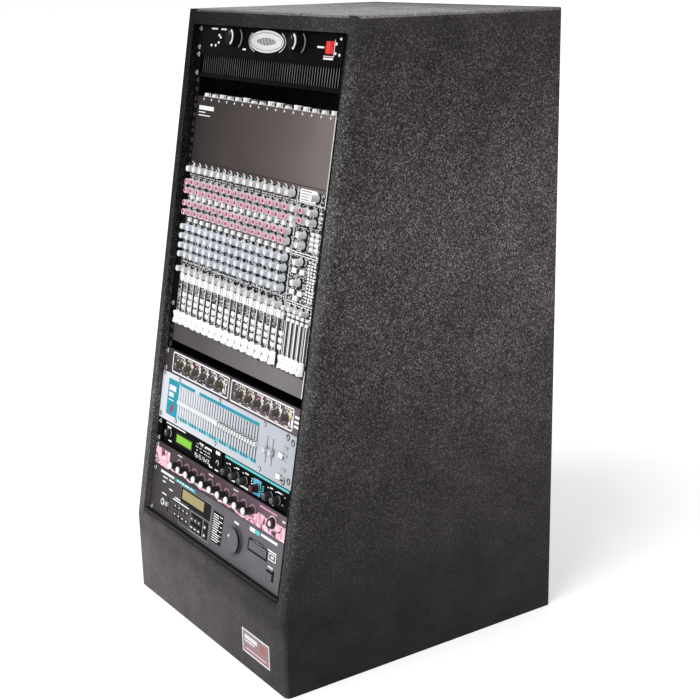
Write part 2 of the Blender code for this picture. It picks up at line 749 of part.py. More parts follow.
def mixer_jack_pod():
    """The connector pod above the controls, with its row of sockets facing up; the case closes its foot."""
    half = mixer_half_width()
    low = (-half, MIXER_FACE, MIXER_CONTROL_HEIGHT)
    high = (half, MIXER_FACE + POD_DEPTH, MIXER_HEIGHT)
    spread = 2 * (half - JACK_SIDE_MARGIN)
    nuts = []
    for index in range(JACK_COUNT):
        centre = (-spread / 2 + spread * index / (JACK_COUNT - 1), MIXER_FACE + JACK_DEPTH)
        nuts.append(prism(circle(JACK_RADIUS, SMALL_SIDES, centre), "z", MIXER_HEIGHT - FUSE_ROOT,
                          MIXER_HEIGHT + JACK_LENGTH))
    return fused(shell(low, high, MIXER_SHEET, "floor"), *nuts)


def mixer_ear(side):
    """An angle bracket: a plate in front of the rail and a flange along the desk's side."""
    inner = mixer_half_width() + SEAT_GAP
    outer = PLATE_WIDTH / 2
    front = PLATE_THICKNESS - MIXER_EAR_PLATE
    bend = inner + MIXER_EAR_SHEET
    outline = [(inner, front), (outer, front), (outer, PLATE_THICKNESS), (bend, PLATE_THICKNESS),
               (bend, MIXER_EAR_DEPTH), (inner, MIXER_EAR_DEPTH)]
    return prism([(side * x, y) for x, y in outline], "z", MIXER_EAR_FOOT, MIXER_EAR_FOOT + MIXER_EAR_HEIGHT)


def fader(width):
    """A fader cap, dished between its raised ends, on its stem; y = 0 is the panel's face."""
    half = FADER_CAP_LENGTH / 2
    foot = -FADER_CAP_LIFT
    top = foot - FADER_CAP_HEIGHT
    outline = [(foot, -half), (top + FADER_CAP_CHAMFER, -half), (top, -half + FADER_CAP_CHAMFER),
               (top + FADER_CAP_DIP, 0), (top, half - FADER_CAP_CHAMFER), (top + FADER_CAP_CHAMFER, half),
               (foot, half)]
    cap = prism(outline, "x", -width / 2, width / 2)
    stem = block((-FADER_STEM_THICKNESS / 2, foot - FADER_CAP_HEIGHT / 2, -FADER_STEM_LENGTH / 2),
                 (FADER_STEM_THICKNESS / 2, FADER_STEM_REACH, FADER_STEM_LENGTH / 2))
    return fused(cap, stem)


def build_mixer(rack, slot_foot):
    foot = slot_foot + MIXER_LIFT
    seat = (0, 0, foot)
    place("mixer_case", mixer_case(), DESK_CASE, rack, seat)
    place("mixer_jack_pod", mixer_jack_pod(), DESK_PANEL, rack, seat)
    place("mixer_control_panel", mixer_control_panel(), DESK_PANEL, rack, seat)
    place("mixer_left_ear", mixer_ear(-1), BLACK_METAL, rack, seat)
    place("mixer_right_ear", mixer_ear(1), BLACK_METAL, rack, seat)
    banks = (("mixer_trim_knobs", TRIM_DROPS, WHITE_PLASTIC), ("mixer_aux_knobs", AUX_DROPS, PINK_TIPS),
             ("mixer_eq_and_pan_knobs", EQ_AND_PAN_DROPS, BLUE_GREY_PLASTIC))
    for name, drops, finish in banks:
        place(name, knob_bank(channel_window(drops), channel_knobs(drops)), finish, rack, seat)
    place("mixer_master_knobs", knob_bank(master_window(), master_knobs()), WHITE_PLASTIC, rack, seat)
    caps = {width: fader(width) for width in (CHANNEL_CAP_WIDTH, GROUP_CAP_WIDTH, MAIN_CAP_WIDTH)}
    for name, x, width in fader_places():
        place(name, caps[width], WHITE_PLASTIC, rack, (x, MIXER_FACE, foot + FADER_REST))


# Compressor

def build_compressor(rack, foot):
    case = gear_case(COMPRESSOR_UNITS, COMPRESSOR_CASE_DEPTH)
    place("compressor_case", case, BLACK_METAL, rack, (0, 0, foot))
    line = COMPRESSOR_UNITS * RACK_UNIT / 2
    knobs = []
    for side in (-0.5, 0.5):
        centre = COMPRESSOR_CENTRE + side * COMPRESSOR_SIDE_SPREAD
        for index in range(COMPRESSOR_KNOBS):
            seat = (centre + (index - (COMPRESSOR_KNOBS - 1) / 2) * COMPRESSOR_KNOB_PITCH, line)
            knobs.append(peg(seat, COMPRESSOR_KNOB_RADIUS, FUSE_ROOT, -COMPRESSOR_KNOB_LENGTH, KNOB_SIDES))
    panel = fused(faceplate(COMPRESSOR_UNITS), *knobs)
    place("compressor_front_panel", panel, DARK_PANEL, rack, (0, 0, foot))


# Graphic equalizer

def band_window():
    """The low and high corners of the opening for the bank of band sliders."""
    line = EQUALIZER_UNITS * RACK_UNIT / 2
    last = BAND_FIRST + (EQUALIZER_BANDS - 1) * BAND_PITCH
    return ((BAND_FIRST - BAND_PITCH / 2, line - BAND_BANK_HEIGHT / 2),
            (last + BAND_PITCH / 2, line + BAND_BANK_HEIGHT / 2))


def level_slider_x():
    """The two level sliders stand to the right of the band sliders."""
    first = band_window()[1][0] + LEVEL_SLIDER_GAP
    return first, first + LEVEL_SLIDER_PITCH


def slider(width, height, length):
    """A small slider cap on its stem; y = 0 is the panel's face."""
    foot = -SEAT_GAP
    cap = block((-width / 2, foot - length, -height / 2), (width / 2, foot, height / 2))
    stem = block((-FADER_STEM_THICKNESS / 2, foot - length / 2, -FADER_STEM_LENGTH / 2),
                 (FADER_STEM_THICKNESS / 2, FADER_STEM_REACH, FADER_STEM_LENGTH / 2))
    return fused(cap, stem)


def build_equalizer(rack, foot):
    case = gear_case(EQUALIZER_UNITS, EQUALIZER_CASE_DEPTH)
    place("equalizer_case", case, BLACK_METAL, rack, (0, 0, foot))
    line = EQUALIZER_UNITS * RACK_UNIT / 2
    low, high = band_window()
    window = block((low[0], -CUT_REACH, low[1]), (high[0], CUT_REACH, high[1]))
    slots = [slot_block(x, line - LEVEL_SLIDER_TRAVEL, 2 * LEVEL_SLIDER_TRAVEL) for x in level_slider_x()]
    panel = cut(faceplate(EQUALIZER_UNITS), window, *slots)
    place("equalizer_front_panel", panel, PALE_PANEL, rack, (0, 0, foot))
    bank = block((low[0] + SEAT_GAP, 0, low[1] + SEAT_GAP),
                 (high[0] - SEAT_GAP, PLATE_THICKNESS, high[1] - SEAT_GAP))
    caps = []
    for index in range(EQUALIZER_BANDS):
        x = BAND_FIRST + index * BAND_PITCH
        caps.append(block((x - BAND_CAP_WIDTH / 2, -BAND_CAP_LENGTH, line - BAND_CAP_HEIGHT / 2),
                          (x + BAND_CAP_WIDTH / 2, FUSE_ROOT, line + BAND_CAP_HEIGHT / 2)))
    place("equalizer_band_sliders", fused(bank, *caps), GREY_PLASTIC, rack, (0, 0, foot))
    level = slider(LEVEL_SLIDER_CAP_WIDTH, LEVEL_SLIDER_CAP_HEIGHT, LEVEL_SLIDER_CAP_LENGTH)
    for name, x in zip(("equalizer_gain_slider", "equalizer_filter_slider"), level_slider_x()):
        place(name, level, GREY_PLASTIC, rack, (x, 0, foot + line))


# Two half width units in a tray

def half_rack_tray():
    """A one unit shelf: a floor sheet, two side walls and two ears in front of the rails."""
    outer = RACK_APERTURE / 2 - SEAT_GAP
    inner = outer - TRAY_SHEET
    foot = PLATE_SLACK
    floor = foot + TRAY_SHEET
    top = HALF_RACK_UNITS * RACK_UNIT - PLATE_SLACK
    outline = [(-outer, foot), (outer, foot), (outer, top), (inner, top), (inner, floor), (-inner, floor),
               (-inner, top), (-outer, top)]
    channel = prism(outline, "y", 0, TRAY_DEPTH)
    root = outer - TRAY_SHEET / 2
    ear = PLATE_WIDTH / 2
    left_ear = block((-ear, 0, foot), (-root, PLATE_THICKNESS, top))
    right_ear = block((root, 0, foot), (ear, PLATE_THICKNESS, top))
    return fused(channel, left_ear, right_ear)


def half_unit(side):
    """A half width shell that stands on the tray, its face a little behind the ears."""
    outer = side * (RACK_APERTURE / 2 - TRAY_SHEET - 2 * SEAT_GAP)
    near = side * HALF_UNIT_GAP / 2
    low = (min(near, outer), HALF_UNIT_RECESS, PLATE_SLACK + TRAY_SHEET + SEAT_GAP)
    top = HALF_RACK_UNITS * RACK_UNIT - 2 * CASE_SLACK
    high = (max(near, outer), HALF_UNIT_RECESS + HALF_UNIT_DEPTH, top)
    return shell(low, high, TRAY_SHEET, "floor")


def build_half_rack(rack, foot):
    line = HALF_RACK_UNITS * RACK_UNIT / 2
    place("half_rack_tray", half_rack_tray(), BLACK_METAL, rack, (0, 0, foot))
    root = HALF_UNIT_RECESS + FUSE_ROOT
    effects_x = -(RACK_APERTURE / 2 - EFFECTS_KNOB_INSET)
    effects_knob = peg((effects_x, line), EFFECTS_KNOB_RADIUS, root, HALF_UNIT_RECESS - EFFECTS_KNOB_LENGTH,
                       DIAL_SIDES, 1)
    place("effects_unit", fused(half_unit(-1), effects_knob), BLACK_METAL, rack, (0, 0, foot))
    tone_knobs = [peg((x, line), TONE_KNOB_RADIUS, root, HALF_UNIT_RECESS - TONE_KNOB_LENGTH, KNOB_SIDES)
                  for x in TONE_KNOBS_X]
    place("tone_unit", fused(half_unit(1), *tone_knobs), BLACK_METAL, rack, (0, 0, foot))


# Knobbed sound module

def build_module(rack, foot):
    line = MODULE_UNITS * RACK_UNIT / 2
    place("module_case", gear_case(MODULE_UNITS, MODULE_CASE_DEPTH), BLACK_METAL, rack, (0, 0, foot))
    knobs = []
    for index in range(MODULE_KNOBS):
        seat = (MODULE_KNOB_FIRST + index * MODULE_KNOB_PITCH, line)
        knobs.append(peg(seat, MODULE_KNOB_RADIUS, FUSE_ROOT, -MODULE_KNOB_LENGTH, KNOB_SIDES))
    seat = (MODULE_DIAL_X, line)
    knobs.append(peg(seat, MODULE_DIAL_RADIUS, FUSE_ROOT, -MODULE_DIAL_LENGTH, DIAL_SIDES, 1))
    place("module_front_panel", fused(faceplate(MODULE_UNITS), *knobs), PINK_PANEL, rack, (0, 0, foot))


# Sampler

def sampler_front_panel():
    pads = []
    for column in range(PAD_COLUMNS):
        for row in range(PAD_ROWS):
            x = PAD_FIRST_X + column * PAD_PITCH_X
            z = PAD_FIRST_LINE + row * PAD_PITCH_Z
            pads.append(block((x - PAD_WIDTH / 2, -PAD_LENGTH, z - PAD_HEIGHT / 2),
                              (x + PAD_WIDTH / 2, FUSE_ROOT, z + PAD_HEIGHT / 2)))
    return cut(fused(faceplate(SAMPLER_UNITS), *pads), shaft_hole(DIAL_X, DIAL_LINE))


def build_sampler(rack, foot):
    place("sampler_case", gear_case(SAMPLER_UNITS, SAMPLER_CASE_DEPTH), BLACK_METAL, rack, (0, 0, foot))
    place("sampler_front_panel", sampler_front_panel(), DARK_PANEL, rack, (0, 0, foot))
    dial = knob_on_shaft(DIAL_RADIUS, DIAL_RADIUS, DIAL_LENGTH, FINE_SIDES)
    place("sampler_jog_dial", dial, DARK_PANEL, rack, (DIAL_X, 0, foot + DIAL_LINE))


def build_gear(rack):
    """Fill the slots from the bottom up; the empty unit stays open for one more device."""
    slots = ((SAMPLER_UNITS, build_sampler), (MODULE_UNITS, build_module), (HALF_RACK_UNITS, build_half_rack),
             (EQUALIZER_UNITS, build_equalizer), (COMPRESSOR_UNITS, build_compressor),
             (MIXER_UNITS, build_mixer), (EMPTY_UNITS, None), (AMP_UNITS, build_amp))
    foot = 0.0
    for units, build in slots:
        if build is not None:
            build(rack, foot)
        foot += units * RACK_UNIT


def main():
    clear_scene()
    rack = bpy.data.objects.new("rack_face", None)
    rack.location = (0, FOOT_Y, FOOT_HEIGHT)
    rack.rotation_euler = (-SLANT, 0, 0)
    bpy.context.scene.collection.objects.link(rack)
    bpy.context.view_layer.update()
    build_cabinet(rack)
    build_gear(rack)
    bpy.context.view_layer.update()


main()
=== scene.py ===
"""The looks of the carpeted studio rack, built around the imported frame.

World lengths are in metres. Places on the gear are in millimetres on the slanted rack face: x is
measured across from the middle, s up along the face from the foot of the lowest slot, and out from
the plane of the faceplates towards the viewer.
"""

import json
import math
import random

import bmesh
import bpy
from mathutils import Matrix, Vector


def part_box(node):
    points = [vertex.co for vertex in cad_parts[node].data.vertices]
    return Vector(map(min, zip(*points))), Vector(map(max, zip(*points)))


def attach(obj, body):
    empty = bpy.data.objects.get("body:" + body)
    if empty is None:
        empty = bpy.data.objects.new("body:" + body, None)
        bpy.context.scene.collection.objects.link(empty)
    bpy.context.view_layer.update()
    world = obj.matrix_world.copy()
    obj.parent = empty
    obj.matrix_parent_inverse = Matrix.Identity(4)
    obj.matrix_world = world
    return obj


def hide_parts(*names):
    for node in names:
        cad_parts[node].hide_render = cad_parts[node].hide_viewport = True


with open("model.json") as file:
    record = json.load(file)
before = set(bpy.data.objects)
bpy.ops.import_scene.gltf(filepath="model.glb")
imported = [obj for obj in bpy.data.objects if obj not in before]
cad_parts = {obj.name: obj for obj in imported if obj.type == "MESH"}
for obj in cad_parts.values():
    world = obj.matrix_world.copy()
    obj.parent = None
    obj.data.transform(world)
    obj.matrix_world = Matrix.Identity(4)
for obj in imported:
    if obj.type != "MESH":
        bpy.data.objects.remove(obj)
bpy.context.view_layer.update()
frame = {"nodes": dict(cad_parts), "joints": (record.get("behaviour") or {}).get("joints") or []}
cad = frame["nodes"]

# The rack face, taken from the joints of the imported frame
MM = 0.001
DIAL_X = 78
DIAL_S = 45
joints = {joint["name"]: joint for joint in frame["joints"]}
ORIGIN = Vector()
ACROSS = Vector((1, 0, 0))
REARWARD = Vector((0, 1, 0))
UPWARD = Vector((0, 0, 1))
ALONG = Vector(joints["mixer_main_fader_slide"]["axis"]).normalized()
OUTWARD = Vector(joints["sampler_jog_dial_turn"]["axis"]).normalized()
FOOT = Vector(joints["sampler_jog_dial_turn"]["pos_m"]) - (DIAL_X * ACROSS + DIAL_S * ALONG) * MM

# Rack standard, in millimetres
UNIT = 44.45
HOLE_STEPS = (6.35, 22.225, 38.1)
HOLE_X = 232.55
PLATE_HALF = 241.3

# Feet of the slots
SAMPLER_S = 0
MODULE_S = 2 * UNIT
HALF_RACK_S = 3 * UNIT
EQUALIZER_S = 4 * UNIT
COMPRESSOR_S = 6 * UNIT
AMP_S = 18 * UNIT

# Amplifier: its cooling fins, and its raised bezel with the oval plate
FINS = 60
FIN_HALF = 223.2
BEZEL_OUT = 1.5
OVAL_S = AMP_S + 68

# Mixing desk: the faders run in slots, and thin dark fields carry the print around them
DESK_S = 7 * UNIT + 15.875
DESK_OUT = -2
DESK_HALF = 222.9
DESK_HEIGHT = 440
DESK_TOP = DESK_S + 326.5
CHANNELS = 16
CHANNEL_LEFT = -DESK_HALF + 4.7
MASTER_LEFT = DESK_HALF - 81.8
CHANNEL_PITCH = (MASTER_LEFT - CHANNEL_LEFT) / CHANNELS
TRIM_DROPS = (14.2,)
AUX_DROPS = (37, 52.6, 74.6, 90.6)
EQ_DROPS = (117.1, 133.1, 150, 166)
PAN_DROPS = (192.5,)
FADER_S = DESK_S + 46
FADER_TRAVEL = 60
SLOT_FOOT = FADER_S - 4.6
SLOT_TOP = FADER_S + FADER_TRAVEL + 5
SLOT_HALF = 2.6
FIELD_FOOT = DESK_S + 31
FIELD_TOP = DESK_S + 112
FIELD_LAYER = (-0.5, 0.02)
GROUP_LEFT = 157.4
GROUP_PITCH = 13.7
MAIN_FADER_X = 216.3
MASTER_KNOB_PITCH = 24.2
JACKS = 16
JACK_FIRST = -204
JACK_PITCH = 27.2

# Equalizer: its bands, its two level sliders and its small screws
BANDS = 31
BAND_LEFT = -165.6
BAND_PITCH = 9.17
SCALE_STEPS = (-4, -3, -2, -1, 1, 2, 3, 4)
LEVEL_SLIDERS = (("equalizer_gain_slider", 141.7), ("equalizer_filter_slider", 160))
COVER_SCREWS = [(x, s) for x in (-175, -25, 128) for s in (185.6, 261.4)]
SOCKET_SCREWS = [(201, 259), (217, 254), (217, 190.6), (202, 185.6)]

# How far the half width units' fronts stand back, how far aside their details are, and the tone unit's knobs
HALF_RACK_OUT = -4.5
HALF_RACK_SHIFT = -5.5
TONE_KNOBS_X = (31.5, 58.9, 87.7, 127, 169.7, 194.5)

# Thickness of printed marks in millimetres
PRINT = 0.12

# CAD nodes whose shape stays, by the material they are given
DRESSED = {
    "carpet": ("left_side_panel", "right_side_panel", "top_panel", "base_panel", "kick_panel"),
    "rail": ("left_rack_rail", "right_rack_rail"),
    "silver": ("badge_plate", "amp_oval_plate"),
    "fin": ("amp_fin_grille",),
    "red_plastic": ("amp_power_rocker",),
    "desk_panel": ("mixer_jack_pod", "mixer_control_panel"),
    "desk_case": ("mixer_case",),
    "pale_panel": ("equalizer_front_panel",),
    "black_metal": ("amp_case", "amp_front_panel", "mixer_left_ear", "mixer_right_ear", "compressor_case",
                    "equalizer_case", "half_rack_tray", "module_case", "sampler_case"),
}

# Painted light and shade on the carpet, by height in metres: the left and right ends of its front, and its
# sides
CARPET_LEFT = ((0, 2.25), (0.095, 2.25), (0.128, 1.6), (0.16, 2.2), (0.30, 2.3), (0.37, 2.2), (0.55, 0.95),
               (0.73, 0.36), (0.975, 0.14), (1.06, 0.09))
CARPET_RIGHT = ((0, 1), (0.095, 1), (0.128, 0.7), (0.16, 0.8), (0.30, 0.95), (0.45, 1.2), (0.60, 1.65),
                (0.78, 1.75), (0.95, 1.25), (1.03, 0.95), (1.05, 0.85))
CARPET_SIDE = ((0, 0.62), (0.13, 0.70), (0.29, 1.05), (0.45, 1.45), (0.62, 1.85), (0.78, 2), (0.94, 1.25),
               (1.03, 1.05))
CARPET_MOST = 4
TALLEST = 1.1

# Where the carpet's zones end, in millimetres: half widths, heights, and places in depth
CABINET_HALF = 265
INSIDE_HALF = 243.6
KICK_TOP = 175
LEDGE_TOP = 163
LEDGE_REAR = -245
LEDGE_DEPTH = 24
INSIDE_TOP = 1037
INSIDE_REAR = 282
UPPER_FACE = 1045
RAIL_OUT = -7
LIP_INNER = 240
LIP_OUTER = 247.5
SIDE_FRONT = -240
SIDE_DEPTH = 480


def face_point(x, s, out):
    return FOOT + (x * ACROSS + s * ALONG + out * OUTWARD) * MM


def on_face(point):
    """Where a world point lies on the rack face, in millimetres."""
    return tuple((point - FOOT).dot(axis) / MM for axis in (ACROSS, ALONG, OUTWARD))


# Materials

materials = {}


def rgb(colour):
    """A colour as it is, or a grey from one number."""
    return colour if isinstance(colour, tuple) else (colour,) * 3


def shade(colour, factor):
    return tuple(min(1.0, channel * factor) for channel in rgb(colour))


class Graph:
    """A material's node tree, with short calls for the nodes that the finishes need."""

    def __init__(self, name):
        self.name = name
        self.material = bpy.data.materials.new(name + "_finish")
        self.material.use_nodes = True
        self.tree = self.material.node_tree
        self.shader = self.tree.nodes["Principled BSDF"]
        self.coords = self.tree.nodes.new("ShaderNodeTexCoord").outputs["Object"]

    def put(self, value, socket):
        """Link a socket, or set a number or colour."""
        if isinstance(value, bpy.types.NodeSocket):
            self.tree.links.new(value, socket)
        elif socket.type == "RGBA":
            socket.default_value = (*rgb(value), 1)
        else:
            socket.default_value = value

    def node(self, kind, **inputs):
        """A new node; a space in an input's name is written as a low line."""
        node = self.tree.nodes.new("ShaderNode" + kind)
        for name, value in inputs.items():
            self.put(value, node.inputs[name.replace("_", " ")])
        return node

    def noise(self, size, detail=2, roughness=0.5, stretch=(1, 1, 1), distortion=0):
        """Noise whose features are about size millimetres across."""
        place = self.node("Mapping", Vector=self.coords, Scale=stretch).outputs["Vector"]
        return self.node("TexNoise", Vector=place, Scale=1 / (size * MM), Detail=detail, Roughness=roughness,
                         Distortion=distortion).outputs["Fac"]

    def cells(self, size):
        """Random cells about size millimetres across."""
        return self.node("TexVoronoi", Vector=self.coords, Scale=1 / (size * MM)).outputs

    def ramp(self, value, *stops):
        """Colours or greys along a value; stops are (position, colour or grey)."""
        node = self.node("ValToRGB", Fac=value)
        elements = node.color_ramp.elements
        while len(elements) < len(stops):
            elements.new(0.5)
        for element, (position, colour) in zip(elements, stops):
            element.position = position
            element.color = (*rgb(colour), 1)
        return node.outputs["Color"]

    def mix(self, factor, first, second, blend="MIX"):
        node = self.node("Mix")
        node.data_type = "RGBA"
        node.blend_type = blend
        for name, value in (("Factor", factor), ("A", first), ("B", second)):
            self.put(value, node.inputs[name])
        return node.outputs["Result"]

    def tint(self, first, second):
        return self.mix(1, first, second, "MULTIPLY")

    def maths(self, operation, first, second=0, clamp=False):
        node = self.node("Math")
        node.operation = operation
        node.use_clamp = clamp
        self.put(first, node.inputs[0])
        self.put(second, node.inputs[1])
        return node.outputs[0]

    def sum(self, first, second):
        return self.maths("ADD", first, second)

    def less(self, first, second, clamp=False):
        return self.maths("SUBTRACT", first, second, clamp)

    def times(self, first, second, clamp=False):
        return self.maths("MULTIPLY", first, second, clamp)

    def above(self, value, limit):
        return self.maths("GREATER_THAN", value, limit)

    def below(self, value, limit):
        return self.maths("LESS_THAN", value, limit)

    def between(self, value, low, high):
        return self.times(self.above(value, low), self.below(value, high))

    def channel(self, colour):
        return self.node("SeparateColor", Color=colour).outputs["Red"]

    def along(self, axis, origin):
        """The distance in millimetres from a point, along a direction."""
        node = self.node("VectorMath")
        node.operation = "DOT_PRODUCT"
        self.put(self.coords, node.inputs[0])
        self.put(axis / MM, node.inputs[1])
        return self.sum(node.outputs["Value"], -axis.dot(origin) / MM)

    def bump(self, height, strength, distance):
        """Relief of the surface; distance is in millimetres."""
        relief = self.node("Bump", Strength=strength, Distance=distance * MM, Height=height)
        self.put(relief.outputs["Normal"], self.shader.inputs["Normal"])

    def gloss(self, low=0.42, high=0.6):
        """A roughness that is a little uneven."""
        return self.ramp(self.noise(0.8), (0, low), (1, high))

    def finish(self, colour, roughness, specular=0.5, metallic=0, glow=0, light=1, **others):
        """Set the surface, and list the material; light is the colour of its glow."""
        settings = {"Base Color": colour, "Roughness": roughness, "Specular IOR Level": specular,
                    "Metallic": metallic, "Emission Color": light, "Emission Strength": glow, **others}
        for name, value in settings.items():
            self.put(value, self.shader.inputs[name])
        materials[self.name] = self.material


def painted(name, colour, roughness=0.45, grain=0.6, cloud=40, contrast=0.18, specular=0.4, glow=0):
    """Paint or moulded plastic: a soft cloudiness, fine grain and uneven gloss."""
    graph = Graph(name)
    clouds = graph.noise(cloud, 3)
    specks = graph.noise(grain, 2, 0.6)
    base = graph.ramp(clouds, (0.3, shade(colour, 1 - contrast)), (0.7, shade(colour, 1 + contrast)))
    tone = graph.mix(0.35, base, graph.ramp(specks, (0.35, shade(colour, 0.7)), (0.65, shade(colour, 1.3))))
    gloss = graph.ramp(specks, (0.2, max(0.02, roughness - 0.08)), (0.8, min(1.0, roughness + 0.08)))
    graph.bump(specks, 0.25, 0.06)
    graph.finish(tone, gloss, specular, glow=glow, light=colour)


def brushed(name, colour, roughness, metallic=1):
    """Metal with fine straight scratches across the face."""
    graph = Graph(name)
    scratches = graph.noise(1.2, 4, 0.7, stretch=(0.03, 1, 1))
    graph.bump(scratches, 0.15, 0.04)
    tone = graph.ramp(scratches, (0.3, shade(colour, 0.8)), (0.7, shade(colour, 1.1)))
    gloss = graph.ramp(scratches, (0.2, roughness - 0.1), (0.8, roughness + 0.12))
    graph.finish(tone, gloss, metallic=metallic)


def printed(name, colour, glow=0):
    """Screen printing ink with a slightly uneven cover."""
    graph = Graph(name)
    tone = graph.ramp(graph.noise(0.8), (0.3, shade(colour, 0.86)), (0.6, colour))
    graph.finish(tone, graph.gloss(), 0.2, glow=glow, light=colour)


def dense_print(name, cover, ink, tint):
    """Dark paint with rows of small printed marks; cover is the share of the marks that are inked."""
    graph = Graph(name)
    place = graph.node("CombineXYZ", X=graph.along(ACROSS, FOOT), Y=graph.along(ALONG, FOOT))
    marks = graph.node("TexBrick", Vector=place.outputs["Vector"], Color1=0, Color2=1, Mortar=0, Scale=0.15,
                       Brick_Width=0.55, Row_Height=0.36, Mortar_Size=0.05)
    inked = graph.ramp(graph.channel(marks.outputs["Color"]), (0.96 - cover, 0), (1.04 - cover, 1))
    colour = graph.ramp(graph.noise(9, 1), (0.55, ink), (0.60, tint))
    graph.finish(graph.mix(graph.channel(inked), (0.020, 0.019, 0.019), colour), graph.gloss(), 0.1)


def lamp(name, colour, glow):
    """A small lamp: its lens has a fine grain of lighter and darker spots."""
    graph = Graph(name)
    tone = graph.ramp(graph.noise(0.5, 1), (0.2, shade(colour, 0.8)), (0.8, colour))
    graph.finish(tone, 0.25, glow=glow, light=colour)


def display(name, colour, dark, pitch, foot):
    """A lit display with rows of faint character cells."""
    graph = Graph(name)
    across = graph.times(graph.along(ACROSS, FOOT), 1 / pitch)
    upward = graph.times(graph.along(ALONG, foot), 1 / pitch)
    column = graph.below(graph.maths("PINGPONG", across, 1), 0.62)
    row = graph.below(graph.maths("PINGPONG", upward, 1), 0.70)
    lit = graph.ramp(graph.noise(5), (0.3, shade(colour, 0.9)), (0.7, shade(colour, 1.08)))
    tone = graph.mix(graph.times(graph.times(column, row), 0.22), lit, dark)
    graph.finish(tone, 0.35, 0.2, glow=0.12, light=colour)


def light_graded(name, *stops, roughness=0.45, specular=0.08, contrast=0.14):
    """Paint with painted light and shade that changes across the face; stops are (x in millimetres, colour).
    """
    graph = Graph(name)
    share = graph.times(graph.sum(graph.along(ACROSS, FOOT), PLATE_HALF), 0.5 / PLATE_HALF)
    base = graph.ramp(share, *((0.5 + 0.5 * x / PLATE_HALF, colour) for x, colour in stops))
    specks = graph.noise(0.7, 2, 0.6)
    tone = graph.tint(base, graph.ramp(graph.noise(60, 3), (0.3, 1 - contrast), (0.7, 1)))
    tone = graph.tint(tone, graph.ramp(specks, (0.3, 0.88), (0.7, 1)))
    graph.bump(specks, 0.2, 0.05)
    graph.finish(tone, graph.ramp(specks, (0.2, roughness - 0.08), (0.8, roughness + 0.08)), specular)


def patchy_print(name, size, *inks):
    """An abstract print: patches of a few inks, each with its share of the field."""
    graph = Graph(name)
    stops = [(sum(share for share, _ in inks[:index]), ink) for index, (_, ink) in enumerate(inks)]
    tone = graph.ramp(graph.noise(size, 2, 0.55, distortion=1.2), *stops)
    tone.node.color_ramp.interpolation = "CONSTANT"
    graph.finish(tone, graph.gloss(), 0.2)


def badge_print(name):
    """A plate that fades from grey at its head to a dusty rose at its foot."""
    graph = Graph(name)
    foot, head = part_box("badge_plate")
    rise = graph.times(graph.along(UPWARD, foot), MM / (head.z - foot.z))
    share = graph.sum(rise, graph.times(graph.noise(9), 0.2))
    tone = graph.ramp(share, (0.25, (0.36, 0.15, 0.19)), (0.50, (0.32, 0.20, 0.22)),
                      (0.75, (0.26, 0.22, 0.225)))
    graph.finish(tone, graph.gloss(0.35, 0.5), 0.2)


def desk_paint(name):
    """Warm grey paint with a painted reflection that makes it lighter towards the right."""
    graph = Graph(name)
    half, split_s = 225, 560
    share = graph.times(graph.sum(graph.along(ACROSS, FOOT), half), 0.5 / half)
    lip = graph.ramp(share, (0, (0.060, 0.055, 0.054)), (0.35, (0.110, 0.099, 0.097)),
                     (0.65, (0.155, 0.143, 0.141)), (1, (0.210, 0.197, 0.202)))
    pod = graph.ramp(share, (0.05, (0.027, 0.021, 0.0205)), (0.45, (0.070, 0.055, 0.052)),
                     (0.75, (0.120, 0.097, 0.093)), (1, (0.200, 0.170, 0.165)))
    upper = graph.above(graph.along(ALONG, face_point(0, split_s, 0)), 0)
    tone = graph.mix(upper, lip, pod)
    specks = graph.noise(0.7, 2, 0.6)
    tone = graph.tint(tone, graph.ramp(graph.noise(150), (0.3, 0.88), (0.7, 1.12)))
    tone = graph.tint(tone, graph.ramp(specks, (0.3, 0.90), (0.7, 1.10)))
    graph.bump(specks, 0.2, 0.05)
    graph.finish(tone, graph.ramp(specks, (0.2, 0.36), (0.8, 0.50)), 0.05)


def banded(name, colour, mark, centre_s, half_width):
    """Plastic caps with a line across their middle."""
    graph = Graph(name)
    grain = graph.noise(0.6)
    body = graph.ramp(grain, (0.3, shade(colour, 0.92)), (0.7, shade(colour, 1.04)))
    away = graph.maths("ABSOLUTE", graph.along(ALONG, face_point(0, centre_s, 0)))
    graph.bump(grain, 0.15, 0.05)
    graph.finish(graph.mix(graph.below(away, half_width), body, mark), graph.ramp(grain, (0, 0.32), (1, 0.5)))


